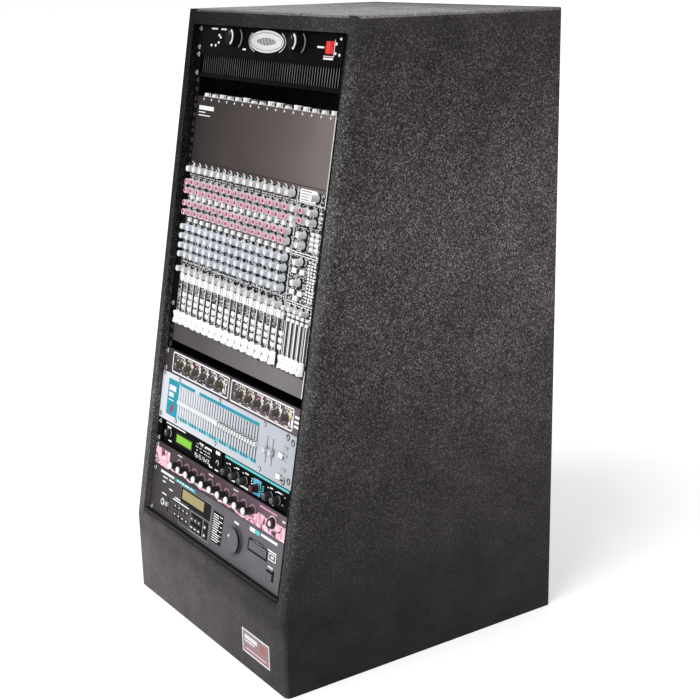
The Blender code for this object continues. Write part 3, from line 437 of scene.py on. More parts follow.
def carpet(name):
    """Short felt: charcoal yarn with dark gaps and pale flecks, with painted light and shade by zone, dust
    and painted light on top, and painted light on the kick panel.
    """
    graph = Graph(name)
    yarn = graph.noise(3, 3, 0.7)
    normal = graph.node("NewGeometry").outputs["Normal"]
    facing = graph.node("SeparateXYZ", Vector=normal).outputs
    height = graph.along(UPWARD, ORIGIN)
    across = graph.along(ACROSS, FOOT)
    deep = graph.along(REARWARD, ORIGIN)
    share = graph.times(height, MM / TALLEST)
    end = graph.times(graph.sum(across, CABINET_HALF), 0.5 / CABINET_HALF, clamp=True)
    front = graph.less(graph.times(facing["Y"], -1.6), 0.4, clamp=True)
    inner = graph.times(graph.above(facing["X"], 0.3), graph.below(across, 0))
    facing_in = graph.maths("MAXIMUM", front, inner)
    kick = graph.times(graph.below(height, KICK_TOP), front)
    within = graph.below(graph.maths("ABSOLUTE", across), INSIDE_HALF)
    behind = graph.between(deep, LEDGE_REAR, INSIDE_REAR)
    bay = graph.times(graph.below(height, INSIDE_TOP),
                      graph.maths("MAXIMUM", graph.above(height, LEDGE_TOP), behind))
    inside = graph.times(graph.below(graph.along(OUTWARD, FOOT), RAIL_OUT), graph.times(bay, within))

    def pile():
        """The yarn's own colour: dark gaps and light tips, that the light washes out in places."""
        tone = graph.ramp(yarn, (0.34, (0.0365, 0.0355, 0.0360)), (0.50, (0.046, 0.0450, 0.0454)),
                          (0.66, (0.058, 0.0567, 0.0572)))
        tips = graph.channel(graph.cells(1.8)["Color"])
        tufts = graph.ramp(tips, (0.12, 0.05), (0.26, 0.2125), (0.76, 0.25), (0.92, 0.95))
        tone = graph.tint(tone, graph.tint(tufts, 4))
        calm = graph.ramp(share, (0, 0.85), (0.13, 0.80), (0.30, 0.40), (0.45, 0.12), (0.80, 0.05),
                          (0.935, 0.30), (0.955, 0.65))
        smooth = graph.channel(graph.ramp(share, (0.58, 0.45), (0.72, 0.12)))
        calm = graph.maths("MAXIMUM", graph.channel(calm), graph.times(front, smooth))
        tone = graph.mix(calm, tone, (0.056, 0.0545, 0.055))
        return graph.tint(tone, graph.mix(kick, 1, (1.05, 0.98, 1.02)))

    def light():
        """Painted light and shade for each zone: the front's ends, the sides, the inside, the ledge under the
        sampler and the right lip.
        """
        left, right, side = (
            graph.ramp(share, *((stop / TALLEST, level / CARPET_MOST) for stop, level in levels))
            for levels in (CARPET_LEFT, CARPET_RIGHT, CARPET_SIDE))
        # The sides' painted light: a warmer tint and, below the top, lighter towards the rear.
        warm = graph.tint(side, (1.05, 0.96, 0.955))
        middle = graph.channel(graph.ramp(share, (0.75, 1), (0.92, 0)))
        rear = graph.along(REARWARD / SIDE_DEPTH, REARWARD * SIDE_FRONT * MM)
        rear = graph.ramp(rear, (0.1, 0.88), (0.9, 1.12))
        warm = graph.mix(middle, warm, graph.tint(warm, rear))
        level = graph.tint(graph.mix(facing_in, warm, graph.mix(end, left, right)), CARPET_MOST)
        # Painted shade inside the cabinet.
        level = graph.mix(inside, level, 0.20)
        # A painted shadow on the ledge under the sampler, darkest at the sampler's lower edge.
        fall = graph.times(graph.along(ALONG, face_point(0, -LEDGE_DEPTH, 0)), 1 / LEDGE_DEPTH)
        shadow = graph.ramp(fall, (0, 1), (0.4, 0.84), (0.62, 0.66), (0.80, 0.36), (0.90, 0.08))
        ledge = graph.times(graph.below(height, LEDGE_TOP), within)
        ledge = graph.times(ledge, graph.below(deep, LEDGE_REAR))
        level = graph.tint(level, graph.mix(ledge, 1, shadow))
        # Painted shade on the inner lip at the right.
        lip = graph.between(across, LIP_INNER, LIP_OUTER)
        return graph.mix(graph.times(lip, bay), level, 0.10)

    def dusted_and_lit(tone):
        """Pale dust and painted light on top of the cabinet, lighter towards the front."""
        top = graph.times(graph.less(facing["Z"], 0.35, clamp=True), graph.above(height, UPPER_FACE))
        fall_per_mm = 0.003
        dust_and_light = graph.along(REARWARD * fall_per_mm, ORIGIN)
        dust_and_light = graph.ramp(dust_and_light, (0.1, (9.2, 9.9, 10)), (0.9, (4, 4.3, 4.4)))
        return graph.mix(top, tone, graph.tint(tone, dust_and_light))

    def flecked(tone):
        """Small pale flecks, more of them on the front, none on the kick panel or inside."""
        spots = graph.cells(6.5)
        chosen = graph.above(graph.channel(spots["Color"]), graph.sum(graph.times(front, -0.22), 0.60))
        fleck = graph.times(graph.below(spots["Distance"], 0.13), chosen)
        fleck = graph.times(fleck, graph.less(1, graph.maths("MAXIMUM", kick, inside)))
        faint = graph.times(graph.times(facing_in, graph.less(1, end)), 0.55)
        return graph.mix(graph.times(fleck, graph.less(0.80, faint)), tone, (0.38, 0.365, 0.36))

    patches = graph.ramp(graph.noise(70, 3, 0.6), (0.3, 0.80), (0.7, 1.20))
    tone = flecked(dusted_and_lit(graph.tint(graph.tint(pile(), light()), patches)))
    graph.bump(graph.sum(yarn, graph.noise(1.1, 2, 0.7)), 0.7, 1.2)
    sheen = {"Sheen Weight": 0.06, "Sheen Roughness": 0.4, "Sheen Tint": (0.8, 0.8, 0.82)}
    graph.finish(tone, 0.95, 0.05, **sheen)


carpet("carpet")
desk_paint("desk_panel")
badge_print("badge_paint")

# Bare metals
brushed("silver", (0.80, 0.80, 0.82), 0.32)
brushed("zinc", (0.72, 0.72, 0.74), 0.28)
# Bright metal for painted highlights: glints on screws, rims of the amplifier's knobs and the desk's right
# edge.
brushed("highlight_metal", (0.92, 0.91, 0.89), 0.35, 0.3)

# Painted light and shade that changes from left to right: on the fin edges, and on the panels
light_graded("fin_edge_highlight", (-240, (0.17, 0.17, 0.175)), (0, (0.24, 0.24, 0.25)), (240, (0.46, 0.46, 0.47)),
       roughness=0.40, specular=0.2, contrast=0.55)
light_graded("dark_panel", (-235, (0.055, 0.046, 0.054)), (-100, (0.068, 0.060, 0.067)),
       (-30, (0.140, 0.130, 0.145)), (235, (0.155, 0.145, 0.166)))
light_graded("plum_panel", (-235, (0.048, 0.036, 0.042)), (0, (0.085, 0.058, 0.070)), (200, (0.165, 0.115, 0.138)))
light_graded("pale_panel", (-235, (0.76, 0.79, 0.85)), (0, (0.62, 0.65, 0.71)), (235, (0.47, 0.505, 0.56)),
       roughness=0.42, specular=0.3, contrast=0.07)

# Prints
patchy_print("pink_print", 16, (0.37, (0.060, 0.036, 0.046)), (0.08, (0.78, 0.34, 0.48)),
             (0.08, (0.94, 0.70, 0.77)), (0.47, (0.84, 0.45, 0.58)))
patchy_print("teal_print", 26, (0.47, (0.003, 0.27, 0.45)), (0.53, (0.002, 0.29, 0.34)))
dense_print("send_print", 0.62, 0.80, (0.22, 0.55, 0.40))
dense_print("tone_print", 0.45, (0.72, 0.74, 0.78), (0.72, 0.74, 0.78))
dense_print("fader_print", 0.40, 0.70, (0.30, 0.30, 0.31))

# Dark paints and plastics: colour, roughness and specular level
DARK_PAINTS = {
    "rail": (0.004, 0.5, 0.04),
    "black_metal": ((0.0046, 0.0046, 0.0050), 0.42, 0.01),
    "fin": ((0.003, 0.003, 0.0033), 0.45, 0.03),
    "desk_case": ((0.030, 0.028, 0.028), 0.55, 0.2),
    "steel": ((0.014, 0.014, 0.015), 0.30, 0.10),
    "black_plastic": ((0.006, 0.006, 0.0065), 0.36, 0.06),
    "charcoal_plastic": ((0.020, 0.019, 0.021), 0.40, 0.3),
    "umber_plastic": ((0.070, 0.056, 0.048), 0.36, 0.35),
    "wine_plastic": ((0.48, 0.014, 0.085), 0.40, 0.1),
    "dark_red_plastic": ((0.065, 0.010, 0.022), 0.40, 0.2),
    "knob_black": ((0.0035, 0.0035, 0.0038), 0.4, 0.04),
    "socket": ((0.006, 0.006, 0.007), 0.6, 0.4),
}
for paint, (colour, roughness, specular) in DARK_PAINTS.items():
    painted(paint, colour, roughness, specular=specular)

# Light plastics: colour, roughness, contrast of their clouds, and glow; the buttons' glow is painted light
WHITE = 0.88
LIGHT_PLASTICS = {
    "grey_plastic": ((0.42, 0.43, 0.46), 0.45, 0.06, 0),
    "pale_plastic": (0.74, 0.40, 0.06, 0),
    "blue_grey_plastic": ((0.71, 0.75, 0.82), 0.40, 0.10, 0),
    "lavender_plastic": ((0.77, 0.80, 0.87), 0.40, 0.08, 0),
    "pan_plastic": ((0.72, 0.75, 0.74), 0.40, 0.10, 0),
    "ivory_plastic": ((0.78, 0.74, 0.75), 0.40, 0.08, 0),
    "blush_plastic": ((0.90, 0.62, 0.70), 0.38, 0.08, 0),
    "white_plastic": (WHITE, 0.38, 0.04, 0),
    "red_plastic": ((0.80, 0.030, 0.018), 0.26, 0.06, 0),
    "yellow_plastic": ((0.95, 0.80, 0.22), 0.40, 0.06, 0),
    "glowing_button_white": (WHITE, 0.38, 0.04, 0.20),
}
for plastic, (colour, roughness, contrast, glow) in LIGHT_PLASTICS.items():
    painted(plastic, colour, roughness, contrast=contrast, glow=glow)
painted("desk_field", (0.020, 0.019, 0.019), 0.5, cloud=60, specular=0.05)
# The fader caps, the jack collars and the band caps glow, though they are no lamps: painted light.
painted("fader_cap", 0.90, 0.36, contrast=0.03, specular=0.3, glow=0.45)
painted("socket_white", 0.84, 0.36, cloud=12, contrast=0.30, glow=0.30)
painted("shell_grey", (0.30, 0.30, 0.31), 0.30, cloud=9, contrast=0.80, specular=0.3)
painted("band_cap", (0.72, 0.74, 0.72), 0.40, grain=1.6, contrast=0.10, glow=0.06)
banded("level_cap", (0.62, 0.63, 0.67), 0.92, EQUALIZER_S + UNIT, 0.7)

# Inks
INKS = {
    "rust_ink": (0.42, 0.15, 0.11),
    "pink": (0.86, 0.36, 0.55),
    "pale_pink": (0.95, 0.68, 0.76),
    "mauve_ink": (0.34, 0.19, 0.26),
    "sky_ink": (0.10, 0.50, 0.76),
    "white_ink": 0.82,
    "grey_ink": (0.38, 0.37, 0.38),
    "dark_ink": (0.012, 0.012, 0.014),
    "teal_ink": (0.002, 0.30, 0.36),
    "green_ink": (0.20, 0.52, 0.36),
    "aqua_ink": (0.12, 0.62, 0.66),
    "red_ink": (0.40, 0.012, 0.05),
    "blush_ink": (0.52, 0.40, 0.42),
    "faint_ink": (0.17, 0.14, 0.18),
}
for ink, colour in INKS.items():
    printed(ink, colour)
# Ink that glows, for printed marks with painted light on them.
printed("glowing_ink", 0.86, 0.22)

# Lamps and displays
lamp("lamp", 0.85, 0.4)
display("green_display", (0.20, 0.52, 0.02), (0.08, 0.28, 0.01), 3, face_point(0, HALF_RACK_S, 0))
display("olive_display", (0.32, 0.27, 0.11), (0.22, 0.19, 0.08), 3.4, face_point(0, SAMPLER_S, 0))


# Shapes on the rack face

def circle(x, s, radius, sides):
    step = 2 * math.pi / sides
    return [(x + radius * math.cos(step * k), s + radius * math.sin(step * k)) for k in range(sides)]


def rectangle(x0, x1, s0, s1, radius=0):
    """A rectangle's outline, its corners round if a radius is given."""
    if radius <= 0:
        return [(x0, s0), (x1, s0), (x1, s1), (x0, s1)]
    points = []
    corners = ((x1 - radius, s0 + radius, -90), (x1 - radius, s1 - radius, 0),
               (x0 + radius, s1 - radius, 90), (x0 + radius, s0 + radius, 180))
    for x, s, start in corners:
        for turn in (0, 22.5, 45, 67.5, 90):
            angle = math.radians(start + turn)
            points.append((x + radius * math.cos(angle), s + radius * math.sin(angle)))
    return points


def drawn_in(outline, amount):
    """A convex outline moved inwards by an amount."""
    result = []
    for index, point in enumerate(outline):
        here = Vector(point)
        first = (here - Vector(outline[index - 1])).normalized()
        second = (Vector(outline[(index + 1) % len(outline)]) - here).normalized()
        normal = Vector((-first.y - second.y, first.x + second.x))
        reach = amount / max(0.3, normal.length / 2)
        result.append(tuple(here + normal.normalized() * reach))
    return result


def mirrored(points):
    """A profile whose far side is the mirror image of the given one."""
    return [(-along, out) for along, out in reversed(points) if along] + points


class Shape:
    """Closed solids on the rack face, in millimetres, that become one piece.

    Outs are counted from the shape's own level, and x from its own shift. A front that isn't given lies
    the thickness of a printed mark over the back.
    """

    def __init__(self, level=0, shift=0):
        self.model = bmesh.new()
        self.level = level
        self.shift = shift

    def verts(self, points):
        return [self.model.verts.new(face_point(x + self.shift, s, out + self.level)) for x, s, out in points]

    def skin(self, loops):
        """Join rows of as many verts each, one after the other."""
        for lower, upper in zip(loops, loops[1:]):
            for index in range(len(lower)):
                self.model.faces.new((lower[index - 1], lower[index], upper[index], upper[index - 1]))

    def loft(self, rings):
        """Join rings of (x, s, out) points, from the back one to the front one, and close both ends."""
        loops = [self.verts(ring) for ring in rings]
        self.model.faces.new(loops[0][::-1])
        self.model.faces.new(loops[-1])
        self.skin(loops)
        return self

    def plate(self, outline, back=0, front=None, chamfer=0):
        """An outline with thickness; a chamfer takes off its front edge."""
        front = back + PRINT if front is None else front
        rings = [[(x, s, back) for x, s in outline]]
        if chamfer > 0:
            rings.append([(x, s, front - chamfer) for x, s in outline])
            outline = drawn_in(outline, chamfer)
        rings.append([(x, s, front) for x, s in outline])
        return self.loft(rings)

    def slab(self, x0, x1, s0, s1, back=0, front=None, chamfer=0, radius=0):
        return self.plate(rectangle(x0, x1, s0, s1, radius), back, front, chamfer)

    def bar(self, x0, x1, s, half, *rest):
        """A slab from x0 to x1, as high as twice its half."""
        return self.slab(x0, x1, s - half, s + half, *rest)

    def block(self, x, s, half_x, half_s, *rest):
        """A slab about its centre."""
        return self.bar(x - half_x, x + half_x, s, half_s, *rest)

    def dashes(self, chance, start, end, s, half, widths, gaps, back=0):
        """A printed row of dashes, as wide and as far apart as chance has it."""
        while start < end:
            width = chance.uniform(*widths)
            self.bar(start, start + width, s, half, back)
            start += width + chance.uniform(*gaps)

    def lathe(self, x, s, profile, sides):
        """Turn a profile of (radius, out) about an axis that stands on the face."""
        return self.loft([[(u, v, out) for u, v in circle(x, s, radius, sides)] for radius, out in profile])

    def standing(self, x, s, depth, profile, sides):
        """Turn a profile of (radius, height) about an axis that runs up the face, as deep as asked."""
        return self.loft([[(u, s + height, v) for u, v in circle(x, -depth, radius, sides)]
                          for radius, height in profile])

    def fluted(self, x, s, profile, flutes, depth):
        """A turned shape whose side has flutes, as many as asked."""
        angles = [2 * math.pi * step / (flutes * 4) for step in range(flutes * 4)]
        reaches = [1 - depth * (0.5 - 0.5 * math.cos(flutes * angle)) for angle in angles]
        return self.loft([[(x + radius * reach * math.cos(angle), s + radius * reach * math.sin(angle), out)
                           for angle, reach in zip(angles, reaches)] for radius, out in profile])

    def cap(self, x, s, half, profile, slope=0, taper=0, soft=0.6):
        """A slider's cap: a profile of (along, out) across x, with soft ends that may lean in."""
        return self.loft([[(x + side * (half - slope * out - soft + drop), s + along * (1 - drop * taper),
                            out - (drop if out > 5 else 0)) for along, out in profile]
                          for side, drop in ((-1, soft), (-1, 0), (1, 0), (1, soft))])

    def stroke(self, start, end, width, back=0, front=None):
        """A straight line between two points."""
        first, second = Vector(start), Vector(end)
        side = (second - first).normalized().orthogonal() * width / 2
        return self.plate([first - side, second - side, second + side, first + side], back, front)

    def needle(self, x, s, angle, near, far, width, back=0, front=None):
        """A stroke between two distances from a centre; the angle is counted clockwise from straight up."""
        centre, reach = Vector((x, s)), Vector((math.sin(angle), math.cos(angle)))
        return self.stroke(centre + reach * near, centre + reach * far, width, back, front)

    def arc(self, x, s, inner, outer, start, end, back=0, front=None, steps=10, squash=0):
        """Part of a ring between two angles in degrees, counted from the right.

        The squash is what an oval is short of in height, on each side.
        """
        for step in range(steps):
            near, far = (math.radians(start + (end - start) * (step + k) / steps) for k in (0, 1))
            corners = ((inner, near), (outer, near), (outer, far), (inner, far))
            self.plate([(x + radius * math.cos(angle), s + (radius - squash) * math.sin(angle))
                        for radius, angle in corners], back, front)

    def ring(self, outline, width, back=0, front=None):
        """A closed band of a given width along the inside of a convex outline."""
        front = back + PRINT if front is None else front
        inside = drawn_in(outline, width)
        loops = [self.verts((x, s, out) for x, s in points)
                 for points, out in ((outline, back), (outline, front), (inside, front), (inside, back))]
        self.skin(loops + loops[:1])
        return self

    def piece(self, name, material, slot, body="rack", replaces=()):
        bmesh.ops.recalc_face_normals(self.model, faces=self.model.faces)
        mesh = bpy.data.meshes.new(name)
        self.model.to_mesh(mesh)
        self.model.free()
        mesh.materials.append(materials[material])
        mesh.shade_smooth()
        mesh.set_sharp_from_angle(angle=math.radians(35))
        item = bpy.data.objects.new(name, mesh)
        bpy.context.scene.collection.objects.link(item)
        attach(item, body)
        if replaces:
            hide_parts(*replaces)


def shapes(count, level=0, shift=0):
    return [Shape(level, shift) for _ in range(count)]


def dress_nodes():
    """Give the CAD nodes whose shape stays their materials."""
    for material, names in DRESSED.items():
        for name in names:
            mesh = cad[name].data
            mesh.materials.clear()
            mesh.materials.append(materials[material])


def screw_heads(places, name, radius=3.5, material="steel", level=0):
    """Pan heads on cup washers; their cross recess and a rim arc on the right are bright metal, painted
    highlights.
    """
    heads, recess = shapes(2, level)
    for x, s in places:
        heads.lathe(x, s, [(radius + 1.3, 0), (radius + 1.3, 0.5), (radius + 0.6, 1.1), (radius, 1.1),
                           (radius, 1.7), (radius * 0.8, 2.5), (radius * 0.35, 2.8)], 18)
        for turn in (-0.4, math.pi / 2 - 0.4):
            recess.needle(x, s, turn, -radius * 0.45, radius * 0.45, radius * 0.28, 2, 2.9)
        recess.arc(x, s, radius - 0.2, radius + 1.4, -60, 60, 0.4, 1.9, 6)
    heads.piece(name + "_screws", material, "black_metal")
    recess.piece(name + "_screw_highlights", "highlight_metal", "black_metal")


def ear_screws(name, foot, *steps, level=0):
    screw_heads([(side * HOLE_X, foot + step) for side in (-1, 1) for step in steps], name, level=level)


def faceplate(unit, foot, units, material, slot):
    """A faceplate with softened edges."""
    Shape().slab(-PLATE_HALF, PLATE_HALF, foot + 0.4, foot + units * UNIT - 0.4, -3, 0, 0.5, 1).piece(
        unit + "_plate", material, slot, replaces=(unit + "_front_panel",))


# Cabinet

def badge():
    """On the name plate: a field, with bars and a spot in place of the print."""
    low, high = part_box("badge_plate")
    width, height = (high.x - low.x) / MM, (high.z - low.z) / MM
    field, bars, spot = shapes(3)

    def on_badge(shape, x0, x1, z0, z1, thickness):
        corners = [(x * width * MM, z * height * MM) for x, z in rectangle(x0, x1, z0, z1)]
        shape.loft([[on_face(Vector((low.x + x, low.y - out * MM, low.z + z))) for x, z in corners]
                    for out in (-0.1, thickness)])

    side, foot = 3.4 / width, 3.4 / height
    on_badge(field, side, 1 - side, foot, 1 - foot, 0.3)
    for place in ((0.10, 0.56, 0.62, 0.80), (0.10, 0.46, 0.50, 0.57), (0.12, 0.88, 0.20, 0.24)):
        on_badge(bars, *place, 0.4)
    on_badge(spot, 0.66, 0.86, 0.48, 0.82, 0.4)
    field.piece("badge_field", "badge_paint", "silver")
    bars.piece("badge_bars", "white_ink", "white_plastic")
    spot.piece("badge_spot", "rust_ink", "red_plastic")


def rail_holes():
    """Bright rims of the holes that no ear covers."""
    rims = Shape()
    free = [unit * UNIT + step for unit in range(7, 18) for step in HOLE_STEPS]
    for side in (-1, 1):
        for s in free:
            if not DESK_S + 40 < s < DESK_S + 302:
                rims.ring(circle(side * HOLE_X, s, 3.9, 14), 1.9, -3.3, -3)
    rims.piece("rail_hole_rims", "zinc", "black_metal")


# Power amplifier

def amp_fins():
    # Light strips on the fins' front edges: painted highlights, lighter towards the right.
    edges = Shape()
    pitch = 2 * FIN_HALF / FINS
    for index in range(FINS):
        edges.block(-FIN_HALF + (index + 0.5) * pitch, AMP_S + 22.3, 0.45, 15.2, -4.5, -4.3)
    edges.piece("amp_fin_edges", "fin_edge_highlight", "black_metal")


def amp_oval():
    """The oval plate's border and strokes, and two bright arcs at its sides, painted reflections of a clear
    ring round it.
    """
    border, lens = shapes(2, BEZEL_OUT)
    oval = [(x, OVAL_S + s * 18 / 55) for x, s in circle(0, 0, 55, 64)]
    border.ring(drawn_in(oval, 3.4), 0.7, 1.8, 1.95)
    for step in range(-6, 7):
        border.block(step * 4.6, OVAL_S, 1.1, 6 - 0.1 * step * step, 0.5, 1.95)
    border.piece("amp_oval_border", "dark_ink", "black_plastic")
    for start in (-45, 145):
        lens.arc(0, OVAL_S, 58, 59.8, start, start + 86, 0, 1, squash=37)
    lens.piece("amp_lens_glints", "zinc", "silver")


def amp_knob(name, x):
    """A level knob: a fluted grip with its shaft, arcs at its skirt and tip that are painted highlights, and
    a pointer.
    """
    s = AMP_S + 70
    grip, skirt, rim, pointer = shapes(4, BEZEL_OUT + 0.3)
    grip.fluted(x, s, [(16.4, 0), (16.4, 2), (15.8, 3), (13.8, 16.4), (13, 17.8), (6, 18)], 24, 0.045)
    grip.lathe(x, s, [(3, -11.8), (3, 1)], 12)
    skirt.arc(x, s, 15.2, 17.2, -62, 62, 1.8, 3.2, 12)
    rim.arc(x, s, 10.6, 14, -62, 66, 17.2, 18.3, 14)
    pointer.slab(x - 0.5, x + 0.5, s + 4, s + 9.6, 17.8, 18.15)
    grip.piece(name + "_grip", "knob_black", "black_plastic", name, (name,))
    skirt.piece(name + "_skirt_highlight", "grey_ink", "silver", name)
    rim.piece(name + "_rim_highlight", "highlight_metal", "silver", name)
    pointer.piece(name + "_pointer", "grey_ink", "white_plastic", name)


def amp_details():
    ear_screws("amp", AMP_S, 6.35, 38.1, 50.8, 82.55)
    amp_fins()
    amp_oval()
    edge, marks, lamps = shapes(3, BEZEL_OUT)
    low, high = (on_face(corner)[0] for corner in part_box("amp_power_rocker"))
    # Pale pink strips along the rocker's right and bottom edges: painted highlights.
    edge.slab(high + 0.6, high + 2.2, AMP_S + 54, AMP_S + 79, 0, 0.5)
    edge.slab(low + 1, high + 2.2, AMP_S + 52.4, AMP_S + 54, 0, 0.5)
    edge.piece("amp_rocker_highlight", "pale_pink", "red_plastic")
    for x0, x1, s in ((-191.6, -170, 883.4), (-158, -139, 883.4), (-77, -67, 853), (152, 171, 866.3),
                      (172, 199, 849.8)):
        marks.bar(x0, x1, s, 1.4)
    marks.piece("amp_printed_marks", "glowing_ink", "white_plastic")
    for x, s in ((-161.7, 873), (-156.2, 869.6), (-161.7, 860.6), (-171.2, 855.6), (-186.2, 855.3),
                 (204.5, 872.6), (215.8, 880.5), (204.5, 858.5), (215.8, 856.5)):
        lamps.lathe(x, s, [(2.2, 0), (2.2, 0.6), (1.5, 1.4), (0.6, 1.7)], 12)
    lamps.piece("amp_lamps", "lamp", "white_plastic")
    amp_knob("amp_left_level_knob", -95.5)
    amp_knob("amp_right_level_knob", 103.5)


# Mixing desk

def channel_x(index):
    return CHANNEL_LEFT + (index + 0.5) * CHANNEL_PITCH


def desk_knob(bodies, tips, pointers, x, s, radius, angle, dotted):
    """A tall knob on a skirt, with a coloured cap and a pointer or a dot."""
    tall = 15.5
    bodies.lathe(x, s, [(radius, 0), (radius, 1.6), (radius * 0.90, 2.4), (radius * 0.84, tall - 1.6)], 16)
    tips.lathe(x, s, [(radius * 0.86, tall / 2), (radius * 0.86, tall - 0.5), (radius * 0.74, tall)], 16)
    if dotted:
        aside = 0.1 * radius
        dot = circle(x + aside * math.sin(angle), s + aside * math.cos(angle), radius * 0.56, 12)
        pointers.plate(dot, tall - 0.4, tall + PRINT)
    else:
        pointers.needle(x, s, angle, radius * 0.1, radius * 0.72, 0.7, tall - 0.4, tall + PRINT)


def knob_bank(name, groups, slot, left, right, drops, field):
    """Replace a bank of CAD knobs: its plate, knob bodies, caps, pointers and printed scales."""
    chance = random.Random(name)
    left, right = left + 1.2, right - 1.2
    plate, shadows, scales, greens, specks = shapes(5, DESK_OUT)
    plate.slab(left, right, DESK_TOP - max(drops) - 7.8, DESK_TOP - min(drops) + 7.8, -2, -0.05, 0.1)
    plate.piece(name + "_plate", field, "desk_panel", replaces=(name,))
    for label, places, body_material, tip_material, pointer_material in groups:
        bodies, tips, pointers = shapes(3, DESK_OUT)
        for x, s, radius in places:
            desk_knob(bodies, tips, pointers, x, s, radius, chance.uniform(-0.7, 0.7),
                      pointer_material == "wine_plastic")
            # A black arc round each knob's base, mostly on its right: a painted shadow.
            shadows.arc(x, s, radius + 0.2, radius + 3.2, -115, 70, 0, 1.4)
            scales.arc(x, s, radius + 1, radius + 2, 84, 228, steps=6)
            target = greens if chance.random() < 0.4 else scales
            start = x - radius - chance.uniform(2.4, 3.4)
            end = start + chance.uniform(2.5, 5)
            target.stroke((start, s - radius - 1.2), (end, s - radius + 1.4), 1.1)
            for side in (-1, 1):
                place = x + side * CHANNEL_PITCH / 2 + chance.uniform(-1, 1)
                if left + 3 < place < right - 3 and radius > 5:
                    target = specks if side > 0 else scales
                    end = place + chance.uniform(0.6, 2.4)
                    target.slab(place - 2.2, end, s - 5.5, s + chance.uniform(-3, 3.4))
        bodies.piece(name + label + "_bodies", body_material, slot)
        tips.piece(name + label + "_caps", tip_material, slot)
        pointers.piece(name + label + "_pointers", pointer_material, slot)
    shadows.piece(name + "_base_shadows", "black_plastic", "black_plastic")
    scales.piece(name + "_scales", "glowing_ink", "white_plastic")
    greens.piece(name + "_green_scales", "green_ink", "white_plastic")
    if specks.model.verts:
        specks.piece(name + "_grey_scales", "blush_ink", "grey_plastic")


def desk_knobs():
    def rows(drops):
        return [(channel_x(index), DESK_TOP - drop, 6) for drop in drops for index in range(CHANNELS)]

    def channel_bank(name, slot, field, *groups):
        knobs = [(label, rows(drops), *looks) for label, drops, *looks in groups]
        drops = [drop for group in groups for drop in group[1]]
        knob_bank(name, knobs, slot, CHANNEL_LEFT, MASTER_LEFT, drops, field)

    channel_bank("mixer_trim_knobs", "white_plastic", "send_print",
                 ("", TRIM_DROPS, "pale_plastic", "white_plastic", "grey_plastic"))
    channel_bank("mixer_aux_knobs", "pink_tips", "send_print",
                 ("", AUX_DROPS, "ivory_plastic", "blush_plastic", "wine_plastic"))
    channel_bank("mixer_eq_and_pan_knobs", "blue_grey_plastic", "tone_print",
                 ("", EQ_DROPS, "blue_grey_plastic", "lavender_plastic", "grey_plastic"),
                 ("_pan", PAN_DROPS, "pan_plastic", "pale_plastic", "grey_plastic"))
    column = MASTER_LEFT + 35
    sends = [(column, DESK_TOP - drop, 6) for drop in AUX_DROPS[:2]]
    places = [(column + side * MASTER_KNOB_PITCH, DESK_TOP - drop, 6)
              for drop in AUX_DROPS[:2] for side in (-1, 1)]
    places += [(column, DESK_TOP - drop, 6) for drop in (*AUX_DROPS[2:], EQ_DROPS[0], EQ_DROPS[2])]
    places.append((column + MASTER_KNOB_PITCH, DESK_TOP - TRIM_DROPS[0], 6))
    places += [(MASTER_LEFT + 16.5 + step * 18, DESK_TOP - 193, 4.5) for step in range(4)]
    knob_bank("mixer_master_knobs", [("", places, "pale_plastic", "white_plastic", "grey_plastic"),
                                     ("_send", sends, "pale_plastic", "blush_plastic", "wine_plastic")],
              "white_plastic", MASTER_LEFT, DESK_HALF, TRIM_DROPS + PAN_DROPS, "tone_print")


def desk_faders():
    names = ["mixer_channel_fader_%02d" % (index + 1) for index in range(CHANNELS)]
    names += ["mixer_group_fader_%d" % (index + 1) for index in range(4)] + ["mixer_main_fader"]
    profile = mirrored([(1.2, 7.2), (3.4, 7.5), (4.2, 8.4), (5.6, 8.1), (6.2, 9), (7.5, 8.5), (7.9, 9.3),
                        (9.4, 9.5), (10.5, 8.2), (10.5, 1)])
    slots, lines = shapes(2, DESK_OUT)
    for name in names:
        low, high = (corner.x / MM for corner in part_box(name))
        x, half = (low + high) / 2, (high - low) / 2
        cap, mark = shapes(2)
        cap.cap(x, FADER_S, half, profile, slope=2.2 / 9, taper=0.06)
        cap.block(x, FADER_S, 0.7, 2.5, -12, 3)
        cap.piece(name + "_cap", "fader_cap", "white_plastic", name, (name,))
        mark.block(x, FADER_S, half * 0.45, 0.5, 6.8, 7.35)
        mark.piece(name + "_mark", "dark_ink", "black_plastic", name)
        slots.ring(rectangle(x - SLOT_HALF, x + SLOT_HALF, SLOT_FOOT, SLOT_TOP, 1.6), 1.3)
        lines.slab(x - 4.3, x - 3.3, FADER_S + 3, SLOT_TOP)
    slots.piece("mixer_fader_slot_edges", "socket", "black_plastic")
    lines.piece("mixer_fader_lines", "glowing_ink", "white_plastic")


